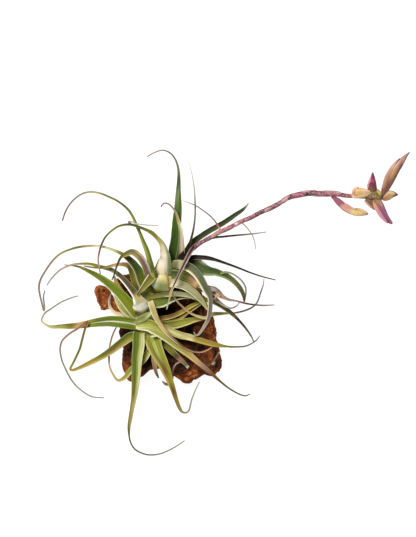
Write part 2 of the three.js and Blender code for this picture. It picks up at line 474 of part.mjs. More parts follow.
// A lump of bark: a ball pressed to its outline, with a broad rough face.
function lumpSolid(lump, grow) {
  const radiusAt = outlineRadius(lump);
  const geometry = weld(new THREE.SphereGeometry(1, ...lump.facets));
  geometry.rotateX(Math.PI / 2);
  const position = geometry.attributes.position;
  for (let i = 0; i < position.count; i++) {
    const px = position.getX(i);
    const py = position.getY(i);
    const pz = position.getZ(i);
    const level = Math.hypot(px, py);
    const angle = level > 1e-6 ? Math.atan2(py, px) : 0;
    const reach = Math.pow(level, 0.62) * (radiusAt(angle) + grow);
    const x = lump.middle[0] + Math.cos(angle) * reach;
    const y = lump.middle[1] + Math.sin(angle) * reach;
    const rise = pz >= 0 ? lump.face - BARK_GIRTH : BARK_UNDERCUT;
    const z = BARK_GIRTH + Math.sign(pz) * Math.pow(Math.abs(pz), 0.7) * rise;
    const relief = barkRelief(x, y, z) + grow;
    const outwards = relief * Math.pow(level, 4) * 0.5;
    const upwards = pz > 0 ? relief * Math.pow(pz, 0.5) : 0;
    position.setXYZ(i, x + Math.cos(angle) * outwards, y + Math.sin(angle) * outwards, z + upwards);
  }
  return solidOf(geometry);
}

// The bark: its lumps grown together, cut flat at the back.
function barkSolid(grow = 0) {
  const belowBack = new THREE.BoxGeometry(200, 200, 40);
  belowBack.translate(0, 0, -20);
  return join(BARK_LUMPS.map((lump) => lumpSolid(lump, grow))).subtract(solidOf(belowBack));
}

function sheathSolid() {
  const geometry = new THREE.SphereGeometry(1, 12, 8);
  geometry.scale(...SHEATH_HALF);
  geometry.translate(...SHEATH_CENTRE);
  return solidOf(geometry);
}

// The scape with its thread-tipped bracts, or the room it needs when grown by the clearance.
function scapeSolid(grow = 0) {
  return roundSolid(SCAPE, STALK_SIDES, 1, grow);
}

// The shoots: a stem with all its leaves, seated on the bark and open where the scape stands in the crown.
function shootSolid(stem, leaves, extras, cuts) {
  const whole = join([roundSolid(stem, SPIKE_SIDES), ...extras, ...leaves.map((points) => bladeSolid(points))]);
  return cuts.reduce((rest, cut) => rest.subtract(cut), whole);
}

function addPiece(group, name, solid, colour, roughness) {
  const mesh = new THREE.Mesh(
    geometryOf(solid),
    new THREE.MeshStandardMaterial({ color: colour, roughness, metalness: 0 }),
  );
  mesh.name = name;
  group.add(mesh);
}

const plant = new THREE.Group();

addPiece(plant, "bark_mount", barkSolid(), 0x7a3b1a, 0.95);

const barkRoom = barkSolid(CLEARANCE);
const scapeRoom = scapeSolid(CLEARANCE);

addPiece(plant, "lower_leafy_shoot", shootSolid(LOWER_STEM, LOWER_LEAVES, [sheathSolid()], [barkRoom]), 0x8a8c34, 0.7);
addPiece(plant, "upper_leafy_shoot", shootSolid(UPPER_STEM, UPPER_LEAVES, [], [barkRoom, scapeRoom]), 0x4c5a22, 0.7);

const threads = SCAPE_THREADS.map((points) => bladeSolid(points));
addPiece(plant, "flower_scape", join([scapeSolid(), ...threads]), 0xa05a69, 0.6);

// Each spike keeps clear of the scape and of the spikes before it.
let taken = scapeRoom;
for (const [name, { route, flatness, colour }] of Object.entries(SPIKES)) {
  addPiece(plant, name, roundSolid(route, SPIKE_SIDES, flatness).subtract(taken), colour, 0.55);
  taken = taken.add(roundSolid(route, SPIKE_SIDES, flatness, CLEARANCE));
}

export default plant;
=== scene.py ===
"""Air plant on bark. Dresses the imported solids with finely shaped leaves, bark, scape and flower head."""

import bisect
import math
from functools import cache

import bmesh
import bpy
from bpy.props import FloatProperty, FloatVectorProperty, IntProperty
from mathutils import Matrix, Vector, noise


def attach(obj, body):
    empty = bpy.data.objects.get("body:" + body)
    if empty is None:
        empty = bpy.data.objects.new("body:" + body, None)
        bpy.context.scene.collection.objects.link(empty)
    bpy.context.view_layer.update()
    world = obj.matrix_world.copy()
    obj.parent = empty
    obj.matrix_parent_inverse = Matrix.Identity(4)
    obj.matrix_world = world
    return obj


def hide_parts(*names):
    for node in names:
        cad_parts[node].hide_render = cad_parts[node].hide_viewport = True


bl_info = {
    "name": "Air plant on bark",
    "version": (1, 0, 0),
    "blender": (4, 5, 0),
    "location": "3D View > Sidebar > Air plant",
    "description": "Builds a leafy air plant with its flower scape on a piece of bark",
    "category": "Add Mesh",
}

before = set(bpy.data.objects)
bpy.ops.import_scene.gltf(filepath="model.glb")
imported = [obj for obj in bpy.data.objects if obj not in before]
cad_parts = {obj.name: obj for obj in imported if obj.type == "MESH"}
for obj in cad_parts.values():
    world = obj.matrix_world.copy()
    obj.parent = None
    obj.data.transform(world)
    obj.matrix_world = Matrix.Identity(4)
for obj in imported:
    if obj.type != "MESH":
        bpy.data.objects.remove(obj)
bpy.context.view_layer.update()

# Units in metres, and the least length that isn't taken as none
MM = 0.001
CM = 0.01
LEAST_GAP = 1e-6

# Colours of the plant as sRGB hex
PALETTE = {
    "moss": "5c6c00",
    "leaf_green": "728200",
    "gold_green": "8a8a1e",
    "bright_green": "3e6a02",
    "forest": "364a08",
    "forest_grey": "53583a",
    "deep_green": "365404",
    "olive": "716c14",
    "dark_olive": "3e400c",
    # shade_olive stands in for the shade deep among the leaves: a painted shade
    "shade_olive": "4c462a",
    "black_green": "28340e",
    "grey_olive": "68683c",
    "yellow_green": "9c9a44",
    "light_green": "a8aa56",
    "pale_green": "bebe80",
    "grey_green": "7b8a54",
    "straw": "aa9a50",
    "gold": "9e8a2e",
    "cream": "dcd6b2",
    "cream_tan": "d2c08c",
    "silver_cream": "e0d4b0",
    "silver": "d2cdb8",
    "white_silver": "f4f0e2",
    "white_pink": "ecdcc8",
    "tan": "c6a06c",
    "olive_tan": "ae9c60",
    "pink_tan": "c89e84",
    "pink_cream": "dac2a8",
    "rust": "8e4c30",
    "brown": "744e12",
    "umber": "463820",
    "black_brown": "20160e",
    "sage": "a4a07a",
    "mauve_brown": "9a7260",
    "mauve_grey": "9c867c",
    "grey": "949088",
    "pale_grey": "b6b2aa",
    "smoke": "6c665e",
    "peach": "cc9a86",
    "dusty_peach": "b88e7c",
    "dusty_tan": "a07c60",
    "warm_cream": "e2c096",
    "ochre": "c8a04c",
    "flower_yellow": "ccb674",
    "light_pink": "cc92a2",
    "rose": "9a4c62",
    "mauve": "945a78",
    "plum": "84426c",
    "maroon": "6c2438",
    "maroon_brown": "744438",
    "spike_olive": "a07a4a",
    "pale_olive": "ccba82",
    "knuckle_olive": "74682a",
    "knuckle_brown": "6e5428",
    "scape_pink": "78344a",
    "scape_rose": "985c66",
    "scape_tan": "a07e6c",
    "scape_pale": "c49c9a",
    "scape_brown": "6c4048",
    "scape_dark": "2e0614",
    "scape_mauve": "5c1434",
    "scape_bright": "8a3258",
    "cleft": "0e0602",
    "dark_cork": "38200f",
    "cork": "623418",
    "red_cork": "8a4c24",
    "orange_cork": "b4703a",
}

# Bark colours from the clefts to the lightest edges: the clefts' darkness is partly painted shade and the
# edges' light partly painted highlight
BARK_TONES = [(0, "cleft"), (0.3, "dark_cork"), (0.55, "cork"), (0.78, "red_cork"), (1, "orange_cork")]

# Leaves of the lower shoot. A route runs root to tip as x, y, z and width in millimetres.
# Colours run along the leaf from 0 at the root to 1 at the tip. left, right and middle give a
# stripe's colour, its share of the half width, how far along the leaf it reaches, and where it starts
# if not at the root. channel gives the channel's depth along the leaf as a share of the width, below 0
# where the leaf arches outwards. margin is how pale the margins are and marks how strongly fibres and
# scales show, 1 unless given.
LOWER_LEAVES = {
    "sheath_leaf": {
        "route": [
            (-12.3, 10.5, 33, 8), (-13, 13.4, 36.5, 12), (-13.9, 16.6, 39, 13), (-15, 20, 41, 10.6),
            (-16.6, 23.2, 42.5, 7.6), (-18.7, 26.8, 44, 5.6), (-22.5, 32, 46, 4.8), (-30, 40.5, 48, 4.2),
            (-37.5, 45.5, 47, 3.4), (-45, 47.5, 45, 2.6), (-52.5, 49.5, 42, 2.1), (-62, 49.5, 37.5, 1.6),
            (-67.5, 48.5, 35, 1.5), (-75, 45, 31, 1.4), (-82.5, 37.5, 26, 1.2), (-85, 33.5, 24, 0.9),
        ],
        "channel": [(0, -0.36), (0.08, -0.26), (0.15, 0), (0.24, 0.24), (1, 0.24)],
        "colours": [
            (0, "dark_olive"), (0.03, "olive"), (0.05, "sage"), (0.068, "silver"), (0.1, "silver"),
            (0.13, "sage"), (0.17, "olive_tan"), (0.22, "shade_olive"), (0.36, "shade_olive"),
            (0.45, "grey_olive"), (0.6, "olive"), (0.8, "mauve_grey"), (1, "grey"),
        ],
        # On the rolled sheath, the silver band and the white-silver left stripe are its own pale colour
        # brightened into painted highlight where it faces the light, and the dark olive at its root is
        # painted shade below it
        "left": ("white_silver", 0.36, 0.42, 0.08), "marks": 0.2,
    },
    "broad_left_leaf": {
        "route": [
            (-14, 8, 27, 7), (-19.5, 14.5, 33, 9.5), (-30, 27, 38.5, 7.5), (-37, 33.5, 40, 6.5),
            (-43, 38, 40, 5.2), (-50.5, 42.5, 38.5, 3.8), (-60, 47, 35, 1.7), (-64, 48, 33, 1.2),
            (-72, 48.8, 28.5, 0.9),
        ],
        "colours": [
            (0, "yellow_green"), (0.12, "gold_green"), (0.3, "leaf_green"), (0.6, "moss"), (0.85, "olive"),
            (1, "tan"),
        ],
        "left": ("cream", 0.2, 0.8), "right": ("leaf_green", 0.6, 0.7),
    },
    "pale_left_leaf": {
        "route": [
            (-18, 9, 27, 4), (-24, 12, 30.5, 5), (-29, 17, 32, 5), (-32.5, 22.5, 32, 3.2), (-34, 27, 31, 1),
        ],
        "colours": [(0, "gold_green"), (0.5, "yellow_green"), (1, "pale_green")],
        "left": ("cream", 0.45, 1),
    },
    "short_left_leaf": {
        "route": [(-17, 12, 28, 4), (-26.5, 25, 31, 4.2), (-32.6, 34.6, 34, 3.4), (-34.4, 40.5, 35.5, 1.4)],
        "colours": [(0, "olive"), (0.45, "olive"), (0.7, "olive_tan"), (1, "tan")],
        "right": ("dark_olive", 0.7, 0.6),
    },
    "dry_left_base": {
        "route": [
            (-18, 7, 25, 4), (-28, 10.4, 27, 4.4), (-34, 12.6, 26, 3), (-37.5, 16.6, 25, 2),
            (-38.3, 22, 24.6, 1.4), (-37.2, 27, 24.5, 1),
        ],
        "colours": [
            (0, "cream"), (0.4, "pink_cream"), (0.6, "pink_cream"), (0.8, "mauve_grey"), (1, "mauve_grey"),
        ],
        "left": ("white_silver", 0.4, 0.9),
    },
    "long_left_leaf": {
        "route": [
            (-12, 4, 28, 6), (-16.5, 4, 32, 8.5), (-26, 5.5, 36.5, 9), (-37.5, 6.5, 38, 8),
            (-47.5, 5.6, 37, 6.5), (-60, 3.5, 33.5, 4.8), (-67.5, 2.8, 30, 4.2), (-75, 2.5, 26, 3.2),
            (-82.5, 2.3, 21.5, 2.2), (-87, 4.5, 18, 1.5), (-89.3, 7, 15.5, 1.3), (-88.7, 9, 14, 1.3),
            (-86.8, 12.5, 12.5, 1.3), (-82.5, 15.5, 11, 1.3), (-75, 20.5, 9, 1.2), (-67.5, 23.8, 8, 1.1),
            (-62, 25.5, 7.5, 0.9),
        ],
        "colours": [
            (0, "white_silver"), (0.05, "pale_green"), (0.1, "leaf_green"), (0.3, "moss"),
            (0.36, "gold_green"), (0.42, "tan"), (0.48, "olive"), (0.56, "yellow_green"),
            (0.66, "pale_green"), (0.78, "grey"), (1, "grey"),
        ],
        # Its white-silver middle stripe is a painted highlight along the channel
        "left": ("moss", 0.7, 0.36), "middle": ("white_silver", 0.15, 0.32), "margin": 0.15,
    },
    "folded_leaf": {
        "route": [
            (-12, -1, 27, 6), (-16.5, -4, 30, 7), (-22.5, -5.3, 33, 7), (-30, -10.5, 35, 6.2),
            (-37.5, -16.2, 36, 5.4), (-45, -20.8, 35.5, 4.3), (-52.5, -24.6, 34.5, 3.7),
            (-60, -28.2, 33, 2.8), (-66, -30.3, 32, 1.9), (-67.4, -29.6, 32, 1.7),
            (-64.6, -23.6, 33.5, 1.7), (-60.2, -14, 36.5, 1.8), (-58.5, -7.5, 38.5, 1.8),
            (-56, 1.5, 40, 1.8), (-54.2, 6.2, 40.5, 1.7), (-57, 4.4, 39.5, 1.7), (-63, 0.2, 37, 1.7),
            (-67.5, -2.5, 34, 1.6), (-73, -7.5, 30, 1.5), (-74.5, -10.5, 27.5, 1.4),
            (-75.2, -15, 24.5, 1.4), (-74, -22.5, 20, 1.3), (-71, -30, 16, 1.3), (-66, -39, 12, 1.2),
            (-61.1, -44.3, 9.5, 1.1), (-52, -50.3, 7, 1), (-42.5, -51.4, 6, 0.8),
        ],
        "colours": [
            (0, "light_green"), (0.05, "gold_green"), (0.1, "olive"), (0.14, "brown"), (0.18, "olive"),
            (0.24, "gold"), (0.32, "gold"), (0.4, "olive"), (0.48, "olive"), (0.53, "rust"),
            (0.58, "mauve_brown"), (0.68, "mauve_grey"), (0.8, "grey"), (1, "grey"),
        ],
        "right": ("moss", 0.8, 0.2), "left": ("straw", 0.5, 0.3),
    },
    "hooked_leaf": {
        "route": [
            (-9, -1, 24, 4), (-6, -11.3, 28.5, 4.5), (-9.8, -18, 30, 5), (-13.5, -23.3, 30, 5),
            (-21.8, -30, 28.5, 4.5), (-26.3, -35.6, 27.5, 3.4), (-31.5, -38, 27, 2),
            (-35.3, -33.5, 27, 1.5), (-37.8, -27.8, 27.5, 1.4), (-38.4, -21.8, 28, 1.4),
            (-37.6, -11.3, 29.5, 1.3), (-35.3, -3, 31, 1.2), (-32.7, 2.3, 31.5, 0.9),
        ],
        "colours": [
            (0, "straw"), (0.25, "yellow_green"), (0.45, "yellow_green"), (0.55, "olive_tan"), (0.7, "tan"),
            (1, "rust"),
        ],
        "left": ("cream_tan", 0.4, 0.5),
    },
    "long_lower_leaf": {
        "route": [
            (-13, 2, 27, 7), (-15.8, -3, 31, 9), (-16.1, -11.3, 35, 9.2), (-17.4, -22.5, 37.5, 7.9),
            (-18.2, -37.5, 37, 6.4), (-19.6, -51, 33, 4.2), (-21.2, -60, 29.5, 3.3), (-22.5, -67.5, 26, 3),
            (-23.4, -72.8, 23, 2.4), (-23.3, -80, 18.5, 1.3), (-22.5, -84, 15.5, 1.2),
            (-21, -87.5, 13, 1.2), (-18.5, -90.5, 11, 1.2), (-11.5, -93.8, 8, 1.2), (-6, -94.4, 6.5, 1.2),
            (0, -93.5, 5.5, 1.1), (7.5, -90.5, 5, 1.1), (15, -86, 5, 1), (18.4, -83.6, 5.5, 0.8),
        ],
        "colours": [
            (0, "light_green"), (0.06, "moss"), (0.28, "moss"), (0.36, "olive"), (0.44, "olive_tan"),
            (0.52, "straw"), (0.6, "olive"), (0.7, "smoke"), (1, "grey"),
        ],
        # Its pale green left stripe is a painted highlight along the lit side
        "left": ("pale_green", 0.75, 0.4),
    },
    "lower_right_leaf": {
        "route": [
            (-9, 1, 27, 7), (-6.3, -6, 31, 11.4), (-4.1, -12, 34, 11.6), (-1.2, -18.8, 36, 9.8),
            (1.9, -24.8, 36.5, 8.3), (4.5, -30.8, 36, 7), (7.1, -37.5, 34, 5.4), (9.8, -45, 31, 4),
            (12.2, -52.5, 27, 3.2), (15, -59.6, 22, 2.5), (16.9, -62, 20, 1.5), (19.9, -62.3, 17.5, 1.3),
            (21.8, -60.5, 15.5, 1.3), (22.7, -57, 13.5, 1.3), (24, -52, 11, 1.2), (26, -47, 9, 1.1),
            (28, -42.5, 7.5, 1), (29.6, -39.4, 7, 0.8),
        ],
        "colours": [
            (0, "light_green"), (0.1, "leaf_green"), (0.26, "olive"), (0.34, "brown"), (0.42, "gold"),
            (0.5, "brown"), (0.6, "gold"), (0.7, "olive_tan"), (0.8, "grey"), (1, "pale_grey"),
        ],
        "right": ("straw", 0.4, 0.5), "left": ("gold_green", 0.7, 0.45),
        "middle": ("light_green", 0.3, 0.22),
    },
    "frayed_leaf": {
        "route": [
            (-9, 0, 25, 5), (1.5, -8, 29, 5.2), (7.5, -14.6, 30, 4.8), (13.5, -20.6, 29.5, 3.8),
            (18, -24.8, 28.5, 3), (21.4, -28.5, 27.5, 2.2),
        ],
        "colours": [
            (0, "yellow_green"), (0.4, "olive"), (0.58, "olive"), (0.7, "umber"), (0.8, "mauve_brown"),
            (0.93, "grey_olive"), (1, "silver"),
        ],
        "left": ("straw", 0.35, 0.7),
    },
    "grey_curl": {
        "route": [
            (7.5, -15.5, 29.8, 1.6), (14.5, -22.3, 28, 1.3), (15.6, -23.8, 27.5, 1.1), (12, -25.5, 27, 1.1),
            (9.4, -30.8, 25.5, 1.1), (9.8, -36.8, 23, 0.9),
        ],
        "colours": [(0, "umber"), (0.5, "mauve_grey"), (1, "mauve_brown")],
    },
    "short_lower_leaf": {
        "route": [
            (-8, -2, 23, 3.6), (-5.4, -14, 27.5, 3.8), (-4.8, -21, 27, 3.6), (-3.9, -27.8, 25, 3.2),
            (-2.8, -32.5, 22.5, 2.4), (-1.1, -36.4, 19.5, 0.9),
        ],
        "colours": [(0, "yellow_green"), (0.5, "olive_tan"), (0.8, "mauve_brown"), (1, "umber")],
        "left": ("straw", 0.4, 1),
    },
    "dark_hook": {
        "route": [
            (-8, -1, 25, 3), (0, -15, 28, 2.5), (4, -27, 27.5, 2.2), (7, -36, 25, 2), (7.5, -40.5, 23, 2.2),
            (4.4, -41, 21, 2.4), (1.6, -38.8, 20, 1.2),
        ],
        "colours": [(0, "olive"), (0.7, "umber"), (0.85, "black_brown"), (1, "smoke")],
        "left": ("grey_green", 0.5, 1), "marks": 0,
    },
    "upper_right_leaf": {
        "route": [
            (-8, 5, 27, 3.5), (0, 8.3, 29.5, 3.4), (7.5, 9.8, 31, 3.4), (15, 12.8, 31.5, 3.4),
            (22.5, 17.3, 30.5, 3.2), (30, 21, 29, 2.2), (32.5, 22, 28.5, 1),
        ],
        "colours": [(0, "olive"), (0.4, "brown"), (0.7, "gold"), (1, "olive")],
        "right": ("straw", 0.5, 0.9), "margin": 0.15,
    },
    "slim_right_leaf": {
        "route": [
            (-6, 5, 26.5, 2.5), (4, 6.5, 28.5, 2.4), (13.5, 7.5, 29, 2.2), (20.3, 12.4, 29, 2),
            (26.3, 16.5, 28, 1.8), (32.3, 20.3, 27, 1),
        ],
        "colours": [(0, "olive"), (0.5, "gold"), (1, "straw")],
        "right": ("straw", 0.5, 1), "margin": 0.15,
    },
    "mid_right_leaf": {
        "route": [
            (-8, 4, 26, 5), (3.8, 3.8, 29.5, 5.5), (11.3, 4.1, 31, 6.2), (18.8, 5.8, 31.5, 5.6),
            (26.3, 7.7, 31, 3.8), (33, 8.5, 30, 1.7), (36.5, 9, 29.5, 0.9),
        ],
        "colours": [(0, "light_green"), (0.3, "olive"), (0.6, "gold_green"), (1, "straw")],
        "right": ("cream_tan", 0.25, 0.9),
    },
    "long_right_leaf": {
        "route": [
            (-9, 4, 27, 5), (-2, 3, 31, 5.6), (3, 1.5, 33.5, 5.4), (9, -1.5, 35, 5.4),
            (15, -3.9, 35.5, 5.2), (22.5, -5.6, 35.5, 4.8), (30, -7.9, 34.5, 4.2), (37.5, -10.1, 33, 3.9),
            (44.3, -11.6, 31, 3), (50.3, -12.5, 29, 1.5), (57.8, -12.8, 26, 1.3), (64.5, -12.2, 23, 1.2),
            (69, -10.2, 21, 1.1), (72.8, -7.5, 19, 1), (75, -4.4, 17.5, 0.8),
        ],
        "colours": [
            (0, "yellow_green"), (0.14, "yellow_green"), (0.3, "straw"), (0.38, "cream_tan"),
            (0.42, "gold"), (0.62, "gold"), (0.72, "olive"), (0.85, "smoke"), (1, "grey"),
        ],
        "middle": ("pale_green", 0.7, 0.36),
    },
    "crossing_leaf": {
        "route": [
            (-18.6, 2.8, 33, 2), (-16, 2.6, 35, 5), (-12.5, 3.2, 36.3, 7.4), (-8.6, 3.4, 37.2, 9.2),
            (-4.4, 1.4, 38, 9.4), (2, -3, 38.6, 7.8), (9, -9, 38, 5.7), (15.8, -14.3, 37, 5),
            (22.5, -19.1, 35.5, 4.8), (30, -25.7, 33, 3.6), (35.3, -30, 31, 3.2), (40.5, -34.5, 28.5, 2.4),
            (45, -38.6, 26, 1.7), (52.5, -44.5, 21.5, 1.3), (60.8, -49, 17, 1.1), (64.5, -49.7, 15, 1),
            (67.5, -48.4, 14, 0.8),
        ],
        "colours": [
            (0, "silver_cream"), (0.04, "pale_green"), (0.08, "light_green"), (0.18, "yellow_green"),
            (0.33, "yellow_green"), (0.42, "straw"), (0.5, "tan"), (0.6, "mauve_brown"), (0.68, "brown"),
            (0.82, "grey_olive"), (1, "smoke"),
        ],
        "right": ("cream", 0.25, 0.34), "left": ("gold_green", 0.6, 0.36),
    },
    "tan_strand": {
        "route": [
            (-7.4, 21.6, 40.4, 4), (-6.4, 18.8, 41.4, 4.6), (-5.3, 15.4, 42.2, 4.6),
            (-3.9, 11.4, 42.8, 4.2), (-2.4, 8.3, 43, 3.7), (3.8, -0.8, 43.3, 2.9), (7.5, -4.7, 43, 2.5),
            (13.5, -9.9, 41.5, 1.7), (17.5, -12.9, 40, 1.4), (22.5, -15.4, 38.5, 1.2),
            (26.5, -16.6, 37, 1.1), (30.5, -16.8, 36, 1), (35, -15.4, 35.5, 0.9), (38.8, -13.2, 35.5, 0.7),
        ],
        "colours": [
            (0, "cream_tan"), (0.1, "olive_tan"), (0.22, "olive_tan"), (0.34, "tan"), (0.5, "mauve_brown"),
            (0.62, "brown"), (0.74, "mauve_brown"), (1, "pink_tan"),
        ],
        "right": ("cream", 0.35, 0.6), "left": ("brown", 0.3, 0.7, 0.2),
    },
    "thin_strand": {
        "route": [
            (-9, 1, 25, 2.5), (5, -7, 28, 2), (20, -16.5, 28, 1.5), (31, -24, 27, 1.2),
            (35.5, -26.3, 26.5, 1.1), (40, -23.5, 26, 1.1), (43.5, -18, 25.5, 1), (45, -15.5, 25, 0.8),
        ],
        "colours": [(0, "olive"), (0.5, "mauve_brown"), (0.8, "umber"), (1, "mauve_brown")],
    },
    "young_leaf": {
        "route": [
            (-17, 6.6, 34, 2.5), (-14.4, 8, 37, 4.8), (-10.8, 10.2, 39.5, 5), (-8, 12.2, 40.5, 3.2),
            (-6.2, 13.9, 41, 1),
        ],
        "colours": [(0, "light_green"), (0.4, "grey_green"), (1, "pale_green")],
        "left": ("olive_tan", 0.5, 1),
    },
    "torn_sliver": {
        "route": [
            (-7.4, -5.2, 38.5, 0.6), (-4.6, -4.5, 39.2, 1.6), (-1.4, -4.4, 39.6, 1.6),
            (1.6, -5.8, 39.4, 0.7),
        ],
        "colours": [(0, "cream"), (1, "yellow_green")],
    },
    "small_sliver": {
        "route": [(0, -7.6, 38.4, 0.6), (1.6, -6.9, 39, 1.4), (3.6, -7.9, 38.8, 0.6)],
        "colours": [(0, "cream"), (1, "yellow_green")],
    },
    "arching_leaf": {
        "route": [
            (-16, 26.5, 33, 4), (-12.5, 26, 35.5, 7), (-9, 24.4, 36.8, 8.6), (-5.5, 22.2, 37.3, 9.2),
            (-2, 21, 37.5, 9), (1.5, 21.2, 37.4, 8.4), (4.8, 22.4, 37.2, 7.4), (8.4, 23.8, 36.7, 6.6),
            (12.1, 25, 36, 6), (16, 25.7, 35.2, 5.2), (22.5, 25.5, 34.3, 4.4), (28, 24, 33.5, 4),
            (33, 22.6, 33.2, 4), (40, 21.3, 33, 4), (46.5, 17.8, 32.5, 3.8), (52, 13.7, 32, 3.3),
            (55.4, 10.9, 31.7, 2.8), (59, 7.4, 31, 2), (63.8, 1.9, 30, 1.7), (68.3, -4.5, 28.5, 1.4),
            (70.5, -9, 27.5, 1),
        ],
        "colours": [
            (0, "dark_olive"), (0.1, "olive"), (0.18, "moss"), (0.26, "deep_green"), (0.34, "forest"),
            (0.42, "grey_olive"), (0.58, "olive"), (0.7, "dark_olive"), (0.745, "umber"), (0.765, "brown"),
            (0.785, "black_brown"), (0.87, "umber"), (0.94, "smoke"), (1, "grey"),
        ],
        "right": ("cream", 0.26, 0.72, 0.16), "margin": 0.12,
    },
}

